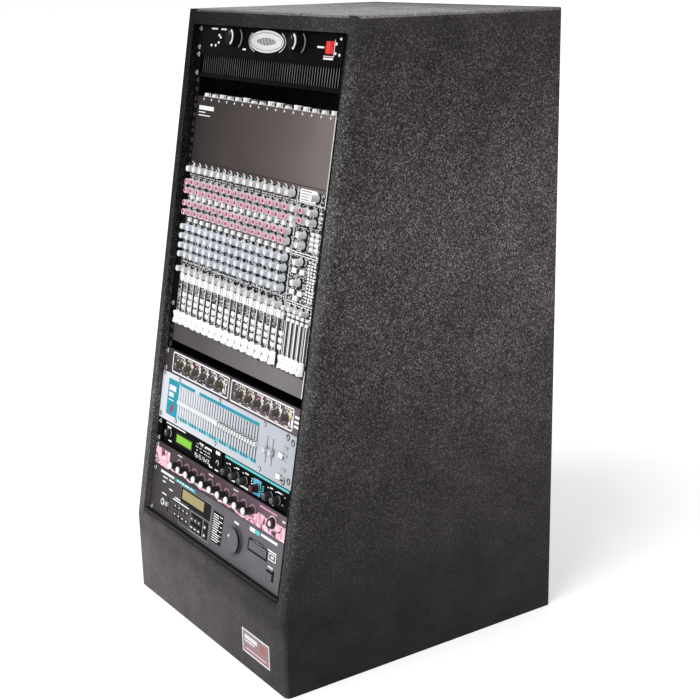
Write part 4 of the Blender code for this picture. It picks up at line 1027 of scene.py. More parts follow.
def channel_print(x, white, grey, buttons, chance):
    """One channel's buttons and small print."""
    for step in range(4):
        white.bar(x - 8 + step * 2.6, x - 5.2 + step * 3.4, DESK_TOP - 3.4 - step * 1.6, 0.8)
    for drop in (25, 28.4, 105.6, 179.6):
        white.dashes(chance, x - 8.5, x + 7, DESK_TOP - drop, 0.8, (1.6, 4.2), (1, 2.4))
    for drop in (63.6, 103.6):
        buttons.slab(x + 1.6, x + 9.4, DESK_TOP - drop - 3.8, DESK_TOP - drop + 3.4, 0, 4.4, 0.5)
    buttons.slab(x - 9.6, x + 3.4, FIELD_TOP + 1.4, FIELD_TOP + 13.2, 0, 1.2, 0.4)
    white.slab(x + 5.2, x + 9.6, FIELD_TOP + 1.4, FIELD_TOP + 11)
    for s in (DESK_S + 88.6, DESK_S + 77.2, DESK_S + 65.8):
        buttons.bar(x + 5.2, x + 16.2, s, 3.2, 0, 1.3, 0.4)
        white.slab(x + 6.4, x + 13, s - 5.4, s - 4.2)
    for step in range(5):
        start = x + 5 + chance.uniform(0, 2.5)
        grey.bar(start, x + chance.uniform(10, 16), FIELD_TOP - 2.6 - step * 3.1, 0.8)
    for step in range(10):
        white.bar(x - 7.6, x - 4.6, FADER_S + 4 + step * FADER_TRAVEL / 9, 0.5)
    white.slab(x + 17.4, x + 18.8, DESK_S + 36, FIELD_TOP)


def master_print(white, grey, buttons, chance):
    """The master section's buttons, lines and small print."""
    for s in (628, 550, 546, 471.2, 467.4):
        white.bar(MASTER_LEFT + 3, DESK_HALF - 3, s, 0.7)
    white.slab(MASTER_LEFT + 7, 196, 629.6, 649.4)
    for row in range(4):
        grey.bar(152, 190 - 9 * (row % 2), 633 + row * 4.4, 0.9, 0, 2 * PRINT)
    for s in (617.5, 611, 604, 597):
        white.bar(208, 220 - chance.uniform(0, 4), s, 1.1)
    for x in (193, 207.5):
        for s in (584, 576, 568, 560):
            buttons.bar(x, x + 10, s, 2.4, 0, 1.8, 0.5)
            white.slab(x + 1, x + 9, s - 4.4, s - 3.4)
    for x, s in ((158.5, 521), (181.5, 521), (158.5, 487), (181.5, 487), (170, 478)):
        buttons.block(x, s, 6, 4, 0, 2.2, 0.5)
    for index in range(5):
        x = GROUP_LEFT + GROUP_PITCH * index
        for s in (449.5, 441.5):
            buttons.block(x, s, 4.2, 2.6, 0, 1.8, 0.5)
        for aside in (-5.6, 4.2, 7) if index < 4 else (-1.5, 8.3):
            white.slab(x + aside, x + aside + 1.2, FADER_S + 6, SLOT_TOP)


def meter_lamps():
    lamps = Shape(DESK_OUT)
    for x in (199.5, 207.5, 215.5):
        for step in range(13):
            lamps.bar(x - 2.2, x + 2.2, 478.5 + step * 5.1, 1.5, 0, 0.7, 0.2)
    for s in (462, 457, 452):
        lamps.lathe(219, s, [(1.6, 0), (1.6, 0.6), (0.8, 1)], 10)
    lamps.piece("mixer_meter_lamps", "lamp", "white_plastic")


def desk_fields():
    """Thin dark fields that carry the print; between the faders they leave the slots open."""
    fields, plain = shapes(2, DESK_OUT)
    edge, right = CHANNEL_LEFT + 0.9, DESK_HALF - 1.6
    fields.slab(CHANNEL_LEFT - 3, edge, FIELD_FOOT, DESK_TOP - 1, *FIELD_LAYER)
    fields.slab(edge, MASTER_LEFT - 0.9, DESK_TOP - 198, DESK_TOP - 184, *FIELD_LAYER)
    fields.slab(edge, right, FIELD_TOP, DESK_TOP - 200.5, *FIELD_LAYER)
    plain.slab(CHANNEL_LEFT - 2, right, DESK_TOP - 0.3, DESK_TOP + 0.9, -0.5, 0.05)
    plain.slab(edge, right, FIELD_FOOT - 0.6, FIELD_FOOT, -0.5, 0.05)
    lanes = [channel_x(index) for index in range(CHANNELS)]
    lanes += [GROUP_LEFT + GROUP_PITCH * index for index in range(4)] + [MAIN_FADER_X]
    for x in lanes:
        field = fields if x < MASTER_LEFT else plain
        field.slab(edge, x - SLOT_HALF, FIELD_FOOT, FIELD_TOP, *FIELD_LAYER)
        field.block(x, (FIELD_FOOT + SLOT_FOOT) / 2, SLOT_HALF, (SLOT_FOOT - FIELD_FOOT) / 2, *FIELD_LAYER)
        field.block(x, (SLOT_TOP + FIELD_TOP) / 2, SLOT_HALF, (FIELD_TOP - SLOT_TOP) / 2, *FIELD_LAYER)
        edge = x + SLOT_HALF
    plain.slab(edge, right, FIELD_FOOT, FIELD_TOP, *FIELD_LAYER)
    fields.piece("mixer_dark_fields", "fader_print", "desk_case")
    plain.piece("mixer_plain_fields", "desk_field", "desk_case")


def desk_print():
    white, grey, buttons, bright = shapes(4, DESK_OUT)
    chance = random.Random(3)
    for index in range(CHANNELS):
        channel_print(channel_x(index), white, grey, buttons, chance)
    white.slab(CHANNEL_LEFT + 0.5, MASTER_LEFT - 1.5, FIELD_TOP - 0.4, FIELD_TOP + 0.9)
    # A strip of bright metal along the desk's right edge: a painted highlight.
    bright.slab(DESK_HALF - 1.6, DESK_HALF + 0.4, DESK_S + 1, DESK_S + DESK_HEIGHT - 1, -1, 0.4, 0.2)
    bright.piece("mixer_bright_edge", "highlight_metal", "silver")
    white.slab(MASTER_LEFT - 0.4, MASTER_LEFT + 1, FIELD_FOOT, DESK_TOP - 3)
    master_print(white, grey, buttons, chance)
    meter_lamps()
    desk_fields()
    grey.piece("mixer_grey_marks", "grey_ink", "grey_plastic")
    white.piece("mixer_printed_marks", "glowing_ink", "white_plastic")
    buttons.piece("mixer_buttons", "glowing_button_white", "white_plastic")


def desk_pod():
    """Sockets that face up along the top of the connector pod, and the dots that number them."""
    dots, collars, holes, shells, title = shapes(5, DESK_OUT)
    top = DESK_S + DESK_HEIGHT
    chance = random.Random(17)
    for index in range(JACKS):
        x = JACK_FIRST + index * JACK_PITCH
        dots.lathe(x + 4, DESK_S + 435.6, [(2.1, 0), (2.1, PRINT)], 12)
        tall = chance.uniform(4.6, 7.8)
        profile = [(8, 0), (8, 0.9), (7.4, 1.2), (6.6, 1.2), (6.6, tall - 0.6), (6, tall), (4.6, tall)]
        collars.standing(x, top, 10.5, profile, 6)
        holes.standing(x, top, 10.5, [(4.4, tall - 0.4), (4.4, tall + 0.05)], 16)
        start = x + chance.uniform(6, 9)
        dots.slab(start, x + chance.uniform(10, 14), top + 0.2, top + 1.6, -3, -1)
        far = x + JACK_PITCH / 2
        profile = [(8.8, 0), (8.8, 1.8), (8.2, 2.4), (7.6, 2.4), (7.6, 6.4), (7, 7), (5.2, 7)]
        shells.standing(far, top, 22, profile, 20)
        holes.standing(far, top, 22, [(4.8, 6.7), (4.8, 7.1)], 20)
    title.slab(-214, -161, DESK_S + 417, DESK_S + 424)
    title.slab(-214, -190, DESK_S + 412, DESK_S + 413.6)
    title.slab(-214, -172, DESK_S + 406.6, DESK_S + 408.2)
    dots.piece("mixer_socket_dots", "white_ink", "white_plastic")
    collars.piece("mixer_jack_base_shadows", "socket_white", "silver")
    shells.piece("mixer_line_sockets", "shell_grey", "silver")
    title.piece("mixer_title_strokes", "glowing_ink", "white_plastic")
    holes.piece("mixer_socket_holes", "socket", "black_plastic")


def desk_details():
    desk_knobs()
    desk_faders()
    desk_print()
    desk_pod()
    ear_screws("mixer", 0, 393.7, 606.8, level=-0.5)


# Compressor

def compressor_knob(x, line, knobs, white, blush, lit, chance):
    """A knob with its pointer, printed scale, lamp and small print; its lit mark is of another ink."""
    knobs.fluted(x, line, [(6.8, 0), (6.8, 1.5), (6.2, 2.2), (5.5, 12.8), (4.6, 14)], 8, 0.10)
    white.stroke((x - 0.5, line + 1.5), (x + chance.uniform(-3, 3), line + 5), 1, 13.6, 14.3)
    for step, target in enumerate((lit, white, white)):
        angle = chance.uniform(-0.5, 0.3) + step * 1.05
        reach = 5.6 if step else 8
        target.needle(x + 7.5, line + 6.5, angle, -reach, reach, 2.6, 0, PRINT if step else 2 * PRINT)
    for step in range(11):
        white.needle(x, line, math.radians(-140 + step * 28), 8, 10.6 if step % 5 else 11.6, 1.4)
    white.dashes(chance, x - 9, x + 8, line + 14.3, 1.1, (1.8, 4.5), (1.2, 3))
    white.slab(x - 5, x + chance.uniform(0, 6), line - 15.2, line - 13.4)
    white.lathe(x + 14.6, line + chance.uniform(-9, 2), [(1.3, 0), (1.3, 0.8), (0.6, 1.2)], 10)
    for step in range(5):
        place = x - 12 + step * 5.4 + chance.uniform(-1, 1)
        s = line + chance.choice((-16.4, -12.6, -11.2, 10.8, 12))
        blush.bar(place, place + chance.uniform(1.6, 3.6), s, 1)


def compressor_details():
    faceplate("compressor", COMPRESSOR_S, 1, "plum_panel", "dark_panel")
    ear_screws("compressor", COMPRESSOR_S, 6.35, 38.1)
    white, blush, knobs, yellow, red = shapes(5)
    line = COMPRESSOR_S + UNIT / 2
    for x0, x1 in ((-209, 0), (7, 210)):
        white.ring(rectangle(x0, x1, COMPRESSOR_S + 3.6, COMPRESSOR_S + 41.4, 4.5), 2.3)
    chance = random.Random(11)
    for mid in (-99.5, 117.5):
        for index in range(6):
            lit = yellow if index in (0, 1, 5) else white
            compressor_knob(mid + (index - 2.5) * 29.2, line, knobs, white, blush, lit, chance)
        red.slab(mid - 22, mid - 10, line + 8.6, line + 12)
        white.ring(rectangle(mid + 82, mid + 92, line + 3.5, line + 14), 1.8)
        white.slab(mid + 87, mid + 90, line - 12.5, line + 0.5)
        white.slab(mid + 80, mid + 83.4, line - 12.5, line - 5)
        knobs.lathe(mid - 92, line + 10, [(3.6, 0), (3.6, 1.6), (2.8, 2.4)], 14)
        white.ring(circle(mid - 92, line + 10, 5.4, 16), 1.1)
    for s in (296.5, 288.5, 281):
        white.bar(213.5, 238, s, 2)
    white.piece("compressor_printed_marks", "glowing_ink", "white_plastic")
    blush.piece("compressor_blush_marks", "blush_ink", "grey_plastic")
    knobs.piece("compressor_knobs", "umber_plastic", "dark_panel")
    yellow.piece("compressor_pointers", "yellow_plastic", "white_plastic")
    red.piece("compressor_red_marks", "red_ink", "red_plastic")


# Graphic equalizer

def equalizer_bands(mid, ticks, teal, aqua):
    """The bank of band sliders: its plate, caps, slots and scales."""
    plate, caps, gaps, grooves, faint = shapes(5)
    right = BAND_LEFT + (BANDS - 1) * BAND_PITCH
    plate.bar(BAND_LEFT - BAND_PITCH / 2 + 0.3, right + BAND_PITCH / 2 - 0.3, mid, 29.7, -3, 0)
    plate.piece("equalizer_band_plate", "pale_panel", "pale_panel", replaces=("equalizer_band_sliders",))
    for index in range(BANDS):
        x = BAND_LEFT + index * BAND_PITCH
        near = index > 15
        caps.bar(x - 4.2 + near, x + 4.2 - near, mid, 3.6, -1, 4.6 + 2 * near, 0.6)
        # On the right half, dark strips beside the caps: painted shadows.
        if near and index < BANDS - 1:
            gaps.slab(x + 3.6, x + 5, mid - 3.2, mid + 4.4, -1, 5.6)
        for side in (-1, 1):
            (grooves if index > 9 else faint).block(x, mid + side * 16.8, 0.8 + 0.022 * index, 12.2)
        for step in SCALE_STEPS:
            ticks.bar(x + 2.2, x + 5.2, mid + step * 6.4, 0.4)
        (teal if index % 4 else aqua).slab(x - 4, x + 3.8, 190, 196.2)
    caps.piece("equalizer_band_caps", "band_cap", "grey_plastic")
    gaps.piece("equalizer_gap_shadows", "dark_ink", "black_plastic")
    grooves.piece("equalizer_band_slots", "dark_ink", "black_plastic")
    faint.piece("equalizer_left_band_slots", "faint_ink", "grey_plastic")


def equalizer_levels(mid, ticks):
    """The two level sliders: their scales, caps, and a painted shadow under each cap that moves with it."""
    profile = mirrored([(0, 6.6), (2.2, 7.4), (4.2, 8.3), (5, 7.4), (5, 0.3)])
    for name, x in LEVEL_SLIDERS:
        for step in SCALE_STEPS:
            ticks.bar(x - 7, x - 3.4, mid + step * 6, 0.4)
        cap, foot = shapes(2)
        cap.cap(x, mid, 4.4, profile)
        cap.block(x, mid, 0.7, 2.5, -12, 2)
        cap.piece(name + "_cap", "level_cap", "grey_plastic", name, (name,))
        # A dark patch under the cap: a painted shadow.
        foot.slab(x - 4.6, x + 5.6, mid - 6.4, mid + 5.4, 0.15, 0.6)
        foot.piece(name + "_cast_shadow", "dark_ink", "black_plastic", name)


def equalizer_details():
    ear_screws("equalizer", EQUALIZER_S, 7.8, 85.2)
    screw_heads(COVER_SCREWS, "equalizer_cover", 1.8, "grey_plastic")
    screw_heads(SOCKET_SCREWS, "equalizer_socket", 2.2)
    ticks, teal, aqua, strokes, red, buttons, greys, shadows = shapes(8)
    equalizer_bands(EQUALIZER_S + UNIT, ticks, teal, aqua)
    equalizer_levels(EQUALIZER_S + UNIT, ticks)
    ticks.piece("equalizer_scales", "white_ink", "white_plastic")
    teal.plate(rectangle(-216, -174, 190, 257, 2.5))
    for x0, x1 in ((-172, -115), (-99, 112)):
        teal.slab(x0, x1, 252.6, 258.4)
    teal.piece("equalizer_teal_print", "teal_print", "pale_panel")
    for x1, low, high in ((-185, 236, 246), (-192.5, 224.5, 232.5), (-191, 217.5, 219.5)):
        strokes.plate(rectangle(-211.5, x1, low, high, 1), PRINT)
    strokes.piece("equalizer_title_strokes", "white_ink", "white_plastic")
    aqua.piece("equalizer_aqua_print", "aqua_ink", "pale_panel")
    red.plate([(-195.5 + 4.6 * x + 3.8 * s, 203.5 + 10 * s) for x, s in circle(0, 0, 1, 24)], PRINT)
    red.piece("equalizer_red_drop", "red_ink", "red_plastic")
    for s in (225.6, 190.6):
        buttons.bar(181.5, 194.5, s, 4.6, 0, 3, 0.6)
        # Under each button, a dark patch: a painted shadow.
        shadows.plate(rectangle(180.5, 196.5, s - 6.2, s + 5.2, 1.5))
    for x, s in SOCKET_SCREWS:
        shadows.ring(circle(x, s, 5.6, 20), 1.7)
    for x, s in COVER_SCREWS:
        shadows.ring(circle(x, s, 4.4, 20), 1.3)
    shadows.piece("equalizer_shadows_and_screw_rings", "dark_ink", "black_plastic")
    for s in (242, 229, 205, 192):
        greys.slab(193, 205, s - 2.4, s + 1.2, 0, 2.2, 0.4)
    greys.lathe(201.5, 219.5, [(1.8, 0), (1.8, 0.8), (1, 1.2)], 12)
    buttons.piece("equalizer_white_buttons", "white_plastic", "white_plastic")
    greys.piece("equalizer_grey_buttons", "grey_plastic", "grey_plastic")


# Two half width units

def effects_details(line, white, knobs):
    """The left unit: a display in its bezel, buttons with small print, and a knob."""
    buttons = Shape(HALF_RACK_OUT, HALF_RACK_SHIFT)
    bezel, screen = shapes(2, HALF_RACK_OUT)
    white.slab(-212, -136, HALF_RACK_S + 37.6, HALF_RACK_S + 39.8)
    for x0, x1, s in ((-206, -192, 165.6), (-197, -185, 141.6), (-82, -66, 168.4), (-60, -36, 167.4),
                      (-40, -28, 138.6), (-19, -6, 138.6)):
        white.bar(x0, x1, s, 1.2)
    white.slab(-21, -6, 166.4, 172.4)
    white.arc(-13, 152, 3.6, 4.8, -60, 200, steps=8)
    chance = random.Random(41)
    for column in range(4):
        x = -86 + column * 14.6
        buttons.block(x, 147, 5, 2.6, 0, 2, 0.6)
        buttons.block(x, 160.5, 4.6, 1.9, 0, 1.6, 0.5)
        for s, level in ((153.9, 0), (160.4, 1.6), (145.4, 2), (148.4, 2), (141.4, 0), (165.2, 0)):
            white.dashes(chance, x - 5, x + 4, s, 0.9, (1.4, 4), (1.2, 4), level)
    buttons.piece("effects_buttons", "charcoal_plastic", "black_plastic")
    x = -198.5
    knobs.fluted(x, line, [(6.9, 0), (6.9, 5.6), (6, 7.2), (3, 7.3)], 12, 0.07)
    white.arc(x, line, 8.2, 9, -40, 220, steps=12)
    white.slab(x - 0.5, x + 0.5, line + 1, line + 5.4, 7.2, 7.45)
    bezel.slab(-176, -109, 144.6, 165.4, 0, 0.9, 0.4, 1.6)
    bezel.piece("effects_display_bezel", "black_plastic", "black_plastic")
    screen.slab(-171.5, -114, 147.6, 161.6, 0.5, 1.1, 0.2)
    screen.piece("effects_display", "green_display", "grey_plastic")


def tone_details(low, white, aqua, grey, blue, knobs):
    """The right unit: six knobs, one of them with a dark red cap, and its printed bars and strokes."""
    aqua.slab(13, 222, HALF_RACK_S + 36.4, HALF_RACK_S + 40.6)
    blue.slab(112, 137, HALF_RACK_S + 3.6, HALF_RACK_S + 30.4)
    for index, x in enumerate(TONE_KNOBS_X):
        knobs.fluted(x, low, [(8.4, 0), (8.4, 1.8), (7.2, 2.6), (6.4, 13.6), (5.4, 15)], 10, 0.08)
        # Grey arcs on each knob's top and on the right of its skirt: painted highlights.
        grey.arc(x, low, 4, 5, 20, 200, 14.8, 15.2, 8)
        grey.arc(x, low, 7.4, 8.4, -30, 80, 1.6, 2.3, 6)
        white.slab(x - 5 - index % 2 * 2, x + 1 + index % 3 * 3, HALF_RACK_S + 28.4, HALF_RACK_S + 30.6)
        if index != 3:
            white.slab(x - 13, x - 9, HALF_RACK_S + 27, HALF_RACK_S + 28.6)
    for index, aside, reach in ((1, 23, 17), (2, 18, 28), (4, 22, 5), (5, 22, 8)):
        x = TONE_KNOBS_X[index] - aside
        white.stroke((x, 138.2), (x + reach, 138.2), 3.4)
        white.stroke((x, 138.2), (x - 3, 146.4), 3.4)
    for step in range(4):
        white.slab(104.5, 108 + step % 2 * 2, 147 + step * 4.2, 148.6 + step * 4.2)
        aqua.stroke((139.5, 145 + step * 3.8), (146.5, 147 + step * 3.8), 1.6)
    red = Shape(HALF_RACK_OUT, HALF_RACK_SHIFT)
    red.lathe(TONE_KNOBS_X[3], low, [(6.6, 9), (6.5, 14.4), (5.4, 15.3)], 20)
    red.piece("tone_unit_red_cap", "dark_red_plastic", "black_plastic")
    for x, s in ((203, 163), (212, 160), (207, 146)):
        grey.block(x, s, 2.6, 1)


def half_rack_details():
    for node, x0, x1 in (("effects_unit", -222.9, -2.5), ("tone_unit", 2.5, 222.9)):
        case = Shape(HALF_RACK_OUT).slab(x0, x1, HALF_RACK_S + 2.2, HALF_RACK_S + 41.4, -165, 0, 0.8, 1.4)
        case.piece(node + "_case", "black_metal", "black_metal", replaces=(node,))
    ear_screws("half_rack", HALF_RACK_S, 6.35, 38.1)
    white, aqua, grey, blue, knobs = shapes(5, HALF_RACK_OUT, HALF_RACK_SHIFT)
    line = HALF_RACK_S + UNIT / 2
    effects_details(line, white, knobs)
    tone_details(line - 5.5, white, aqua, grey, blue, knobs)
    white.piece("half_rack_printed_marks", "glowing_ink", "white_plastic")
    aqua.piece("tone_unit_aqua_bar", "aqua_ink", "pale_panel")
    grey.piece("tone_unit_marks_and_highlights", "grey_ink", "grey_plastic")
    blue.piece("tone_unit_blue_field", "sky_ink", "pale_panel")
    knobs.piece("half_rack_knobs", "charcoal_plastic", "black_plastic")


# Knobbed sound module

def module_details():
    faceplate("module", MODULE_S, 1, "plum_panel", "pink_panel")
    ear_screws("module", MODULE_S, 6.35, 38.1)
    line = MODULE_S + UNIT / 2
    pink, pale, tint, mauve, white, knobs, tips = shapes(7)
    pink.plate(rectangle(-238, -182, MODULE_S + 2, MODULE_S + 34, 3))
    pink.plate(rectangle(138, 238, MODULE_S + 1.6, MODULE_S + 26, 3))
    pink.plate([(100, 90.4), (140, 90.4), (140, 112), (124, 107), (112, 98)])
    tint.slab(142, 197, 126, 128.4)
    chance = random.Random(29)
    before = (-182, MODULE_S + 6)
    for step in range(25):
        after = (-176 + step * 13, MODULE_S + 4 + chance.uniform(-1.5, 6))
        target = pale if chance.random() < 0.7 else tint
        target.stroke(before, after, chance.uniform(1.8, 4.4), 0, PRINT * (1 + step % 2))
        before = after
    for index in range(10):
        x = -145 + index * 29.4
        knobs.lathe(x, line, [(6.6, 0), (6.6, 2), (6, 2.8), (5.8, 17.4)], 20)
        tips.lathe(x, line, [(6, 17.2), (6, 18.6), (5.2, 19.2)], 20)
        mauve.arc(x + 1.5, line, 8, 11.6, -10, 170)
        if index in (0, 4, 7):
            white.slab(x - 8, x + 9, MODULE_S + 37.6, MODULE_S + 39.8)
    x = 186
    knobs.lathe(x, line, [(9, 0), (9, 4.6), (8, 6.4), (7, 7.2), (5.4, 6.2), (2, 6)], 28)
    pale.lathe(x, line, [(4.6, 6), (4.6, 6.3)], 20)
    pale.ring(circle(x, line, 12.6, 28), 2, 2 * PRINT, 3 * PRINT)
    white.slab(215, 224, MODULE_S + 33, MODULE_S + 36.5, 0, 0.6, 0.2)
    pink.piece("module_pink_pattern", "pink_print", "pink_panel")
    tint.piece("module_pink_lines", "pink", "pink_panel")
    pale.piece("module_pale_pattern", "pale_pink", "pink_panel")
    white.piece("module_printed_marks", "white_ink", "white_plastic")
    knobs.piece("module_knobs", "charcoal_plastic", "black_plastic")
    tips.piece("module_knob_caps", "white_plastic", "white_plastic")
    mauve.piece("module_mauve_arcs", "mauve_ink", "pink_panel")


# Sampler

def sampler_head(white, aqua, teal, chance):
    """The strip of blocks and small print along the top."""
    for x0, x1 in ((-210, -158), (156, 208)):
        white.slab(x0, x1, 79.6, 84)
    teal.slab(-154, -72, 78.6, 85)
    for x in range(-146, -76, 10):
        white.slab(x, x + chance.uniform(4, 8), 80.6, 83, PRINT)
    aqua.slab(136, 152, 77, 84)
    white.slab(120, 136, 77, 84)
    white.slab(68, 84, 73, 76.4)
    for x0, x1, s in ((-200, -182, 73.5), (-176, -156, 73.8), (-200, -188, 65), (-172, -158, 57.4),
                      (-198, -180, 43), (133, 165, 64.6), (181, 209, 65), (188, 203, 39)):
        white.bar(x0, x1, s, 1.1)


def sampler_middle(white, grey, dark, buttons, chance):
    """The display, the pads, the buttons and the list of small print beside the dial."""
    screen, pads = shapes(2)
    dark.slab(-126, -13, 47, 77, 0, 0.5, 0.2, 1.5)
    grey.ring(rectangle(-127, -12, 8, 78, 2.5), 0.8)
    screen.slab(-119, -38, 56, 74, 0.3, 0.9, 0.2)
    screen.piece("sampler_display", "olive_display", "grey_plastic")
    white.slab(-146, -96, 48.6, 50.6, 0, 0.5)
    white.slab(-154, -92, 44, 46)
    for column in range(4):
        for s in (19, 34.5):
            x = -142 + column * 15.2
            pads.block(x, s, 5.9, 4.4, 0, 1.2, 0.3, 1.2)
            white.slab(x + 0.4, x + 3.4, s + 0.2, s + 2.6, 1.2)
            dark.slab(x - 5.4, x + 1, s - 4, s - 1.6, 1.2)
    pads.piece("sampler_pads", "dark_panel", "dark_panel")
    dark.slab(-81, -38, 11, 43, 0, 0.3, 0.1, 1.5)
    dark.slab(-33, -17, 11, 43, 0, 0.3, 0.1, 1.5)
    for s in (33, 18):
        for x in (-77, -64, -51):
            buttons.bar(x, x + 10.4, s, 4.4, 0.3, 2.2, 0.6)
            white.bar(x + 1.2, x + 5.4 + 3.4 * (s < 20), s, 0.9, 2.2)
        buttons.bar(-30, -20, s, 4.4, 0.3, 2.2, 0.6)
        white.bar(-28, -22.6, s, 1.6, 2.2)
    grey.ring(rectangle(-83, -36, 9, 45, 1.5), 0.7)
    dark.slab(-4, 32, 17, 72, 0, 0.4, 0.1, 1.5)
    for row in range(12):
        s = 20.5 + row * 4.2
        end = 14 + 13 * chance.random()
        white.bar(-1.5, end, s, 0.8, 0.4)
        if row % 2:
            white.bar(end + 3, 30, s, 0.8, 0.4)


def sampler_sides(white, grey, dark):
    """The disk drive and its button on the right, the level slider and the headphone socket on the left."""
    door, slider, socket = shapes(3)
    dark.slab(119, 182.4, 43.4, 64, 0, 0.2)
    door.slab(123.4, 179.6, 47.2, 62, 0.1, 0.9, 0.4, 1)
    white.ring(rectangle(186, 209, 50, 62, 1), 1.6)
    white.slab(193, 202, 54.4, 57.6)
    dark.slab(202, 209, 17, 36, 0, 0.3)
    dark.slab(185, 206, 29, 35, 0, 0.3)
    dark.slab(122, 168, 64.5, 67, 0, 0.2)
    grey.slab(186, 204, 35, 37, 0, 1.2, 0.3)
    dark.slab(-172.6, -168.6, 14, 42, 0, 0.2)
    slider.slab(-175, -166, 25, 33, 0, 4.5, 0.8, 1)
    socket.lathe(-190, 28, [(6.8, 0), (6.8, 1.4), (6, 2), (4.2, 2)], 24)
    dark.lathe(-190, 28, [(3.3, 1.6), (3.3, 2.1)], 16)
    door.piece("sampler_disk_door", "dark_panel", "dark_panel")
    slider.piece("sampler_level_cap", "grey_plastic", "grey_plastic")
    socket.piece("sampler_headphone_socket", "zinc", "silver")


def sampler_dial():
    # The upper band of the dial's flank is black, a painted shade, under a face of the panel's colour; the
    # pale dimple is a painted highlight.
    dial, face, dimple = shapes(3, 0.3)
    dial.lathe(DIAL_X, DIAL_S, [(22.3, 4), (22.3, 7.2), (22, 7.6)], 56)
    dial.lathe(DIAL_X, DIAL_S, [(3, -10.3), (3, 1)], 12)
    profile = [(22.4, 7.3), (22.4, 8), (21.6, 8.8), (20.4, 9), (19.2, 8.6), (18.6, 8), (4, 7.8)]
    face.lathe(DIAL_X, DIAL_S, profile, 56)
    face.lathe(DIAL_X, DIAL_S, [(22.5, 0), (22.5, 4.2)], 56)
    dimple.lathe(DIAL_X - 10, DIAL_S + 6, [(2.6, 7.5), (2.6, 8.3), (1.8, 8.6), (1, 8.4)], 20)
    dial.piece("sampler_dial_body", "black_plastic", "dark_panel", "sampler_jog_dial", ("sampler_jog_dial",))
    face.piece("sampler_dial_face", "dark_panel", "dark_panel", "sampler_jog_dial")
    dimple.piece("sampler_dial_dimple_highlight", "pale_plastic", "grey_plastic", "sampler_jog_dial")


def sampler_details():
    faceplate("sampler", SAMPLER_S, 2, "dark_panel", "dark_panel")
    ear_screws("sampler", SAMPLER_S, 6.35, 82.55)
    white, aqua, teal, grey, dark, buttons = shapes(6)
    chance = random.Random(5)
    sampler_head(white, aqua, teal, chance)
    sampler_middle(white, grey, dark, buttons, chance)
    sampler_sides(white, grey, dark)
    sampler_dial()
    white.piece("sampler_printed_marks", "glowing_ink", "white_plastic")
    aqua.piece("sampler_aqua_print", "aqua_ink", "pale_panel")
    teal.piece("sampler_teal_print", "teal_ink", "pale_panel")
    grey.piece("sampler_grey_frames", "grey_ink", "grey_plastic")
    dark.piece("sampler_dark_fields", "knob_black", "black_plastic")
    buttons.piece("sampler_buttons", "charcoal_plastic", "black_plastic")


# Stage, lights and camera

FLOOR_SIZE = 60
AMBIENT = 0.5
FLOOR_GLOW = 0.42
CAMERA_PLACE = (1.95085, -1.254455, 1.14288)
CAMERA_TURN = (73.24263, 0.86295, 54.84502)
CAMERA_LENS = 69.61
CAMERA_SHIFT = (-0.0494, 0.0228)


def seen_rays(tree):
    """1 for the rays that show the background, in the view or in a mirror; 0 for those that light things."""
    path = tree.nodes.new("ShaderNodeLightPath")
    seen = path.outputs["Is Camera Ray"]
    for name in ("Is Glossy Ray", "Is Transmission Ray"):
        node = tree.nodes.new("ShaderNodeMath")
        node.operation = "MAXIMUM"
        tree.links.new(seen, node.inputs[0])
        tree.links.new(path.outputs[name], node.inputs[1])
        seen = node.outputs[0]
    return seen


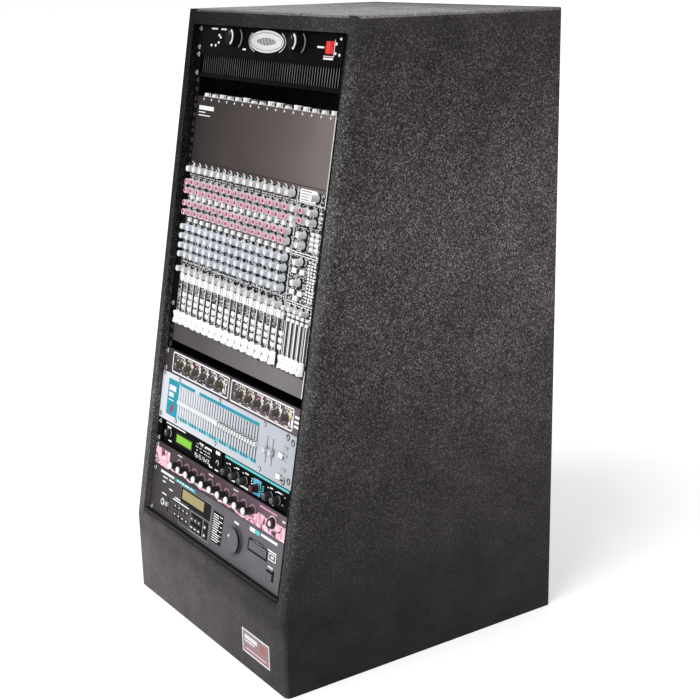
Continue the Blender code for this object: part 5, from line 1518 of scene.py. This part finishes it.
def build_floor():
    graph = Graph("pale_floor")
    graph.finish(graph.ramp(graph.noise(900), (0.3, 0.86), (0.7, 0.88)), 0.8, 0.1)
    white = graph.node("Emission", Strength=graph.times(seen_rays(graph.tree), FLOOR_GLOW))
    both = graph.node("AddShader")
    graph.put(graph.shader.outputs["BSDF"], both.inputs[0])
    graph.put(white.outputs["Emission"], both.inputs[1])
    graph.put(both.outputs["Shader"], graph.tree.nodes["Material Output"].inputs["Surface"])
    mesh = bpy.data.meshes.new("floor")
    half = FLOOR_SIZE / 2
    mesh.from_pydata([(x, y, 0) for x, y in rectangle(-half, half, -half, half)], [], [(0, 1, 2, 3)])
    mesh.materials.append(graph.material)
    floor = bpy.data.objects.new("floor", mesh)
    bpy.context.scene.collection.objects.link(floor)


def build_world():
    world = bpy.data.worlds.new("studio")
    world.use_nodes = True
    tree = world.node_tree
    background = tree.nodes["Background"]
    background.inputs["Color"].default_value = (1, 1, 1, 1)
    strength = tree.nodes.new("ShaderNodeMapRange")
    strength.inputs["To Min"].default_value = AMBIENT
    strength.inputs["To Max"].default_value = 1
    tree.links.new(seen_rays(tree), strength.inputs["Value"])
    tree.links.new(strength.outputs["Result"], background.inputs["Strength"])
    bpy.context.scene.world = world


def place_light(name, light, place, target):
    item = bpy.data.objects.new(name, light)
    item.visible_camera = False
    item.location = place
    item.rotation_euler = (Vector(target) - Vector(place)).to_track_quat("-Z", "Y").to_euler()
    bpy.context.scene.collection.objects.link(item)


def build_lights():
    sun = bpy.data.lights.new("soft_sun", "SUN")
    sun.angle = math.radians(30)
    sun.energy = 1.5
    place_light("soft_sun", sun, (0.5, -2.2, 3.4), (0, 0, 0.4))
    fill = bpy.data.lights.new("low_front_fill", "AREA")
    fill.shape = "DISK"
    fill.size = 0.5
    fill.energy = 4
    place_light("low_front_fill", fill, (-0.55, -1.35, 0.22), (-0.1, -0.28, 0.2))


def build_camera():
    data = bpy.data.cameras.new("photo_camera")
    data.sensor_width = 36
    data.lens = CAMERA_LENS
    data.shift_x, data.shift_y = CAMERA_SHIFT
    camera = bpy.data.objects.new("photo_camera", data)
    camera.location = CAMERA_PLACE
    camera.rotation_euler = [math.radians(angle) for angle in CAMERA_TURN]
    bpy.context.scene.collection.objects.link(camera)
    bpy.context.scene.camera = camera


dress_nodes()
badge()
rail_holes()
amp_details()
desk_details()
compressor_details()
equalizer_details()
half_rack_details()
module_details()
sampler_details()
build_floor()
build_world()
build_lights()
build_camera()
bpy.context.scene.view_settings.view_transform = "Standard"

bpy.context.view_layer.update()
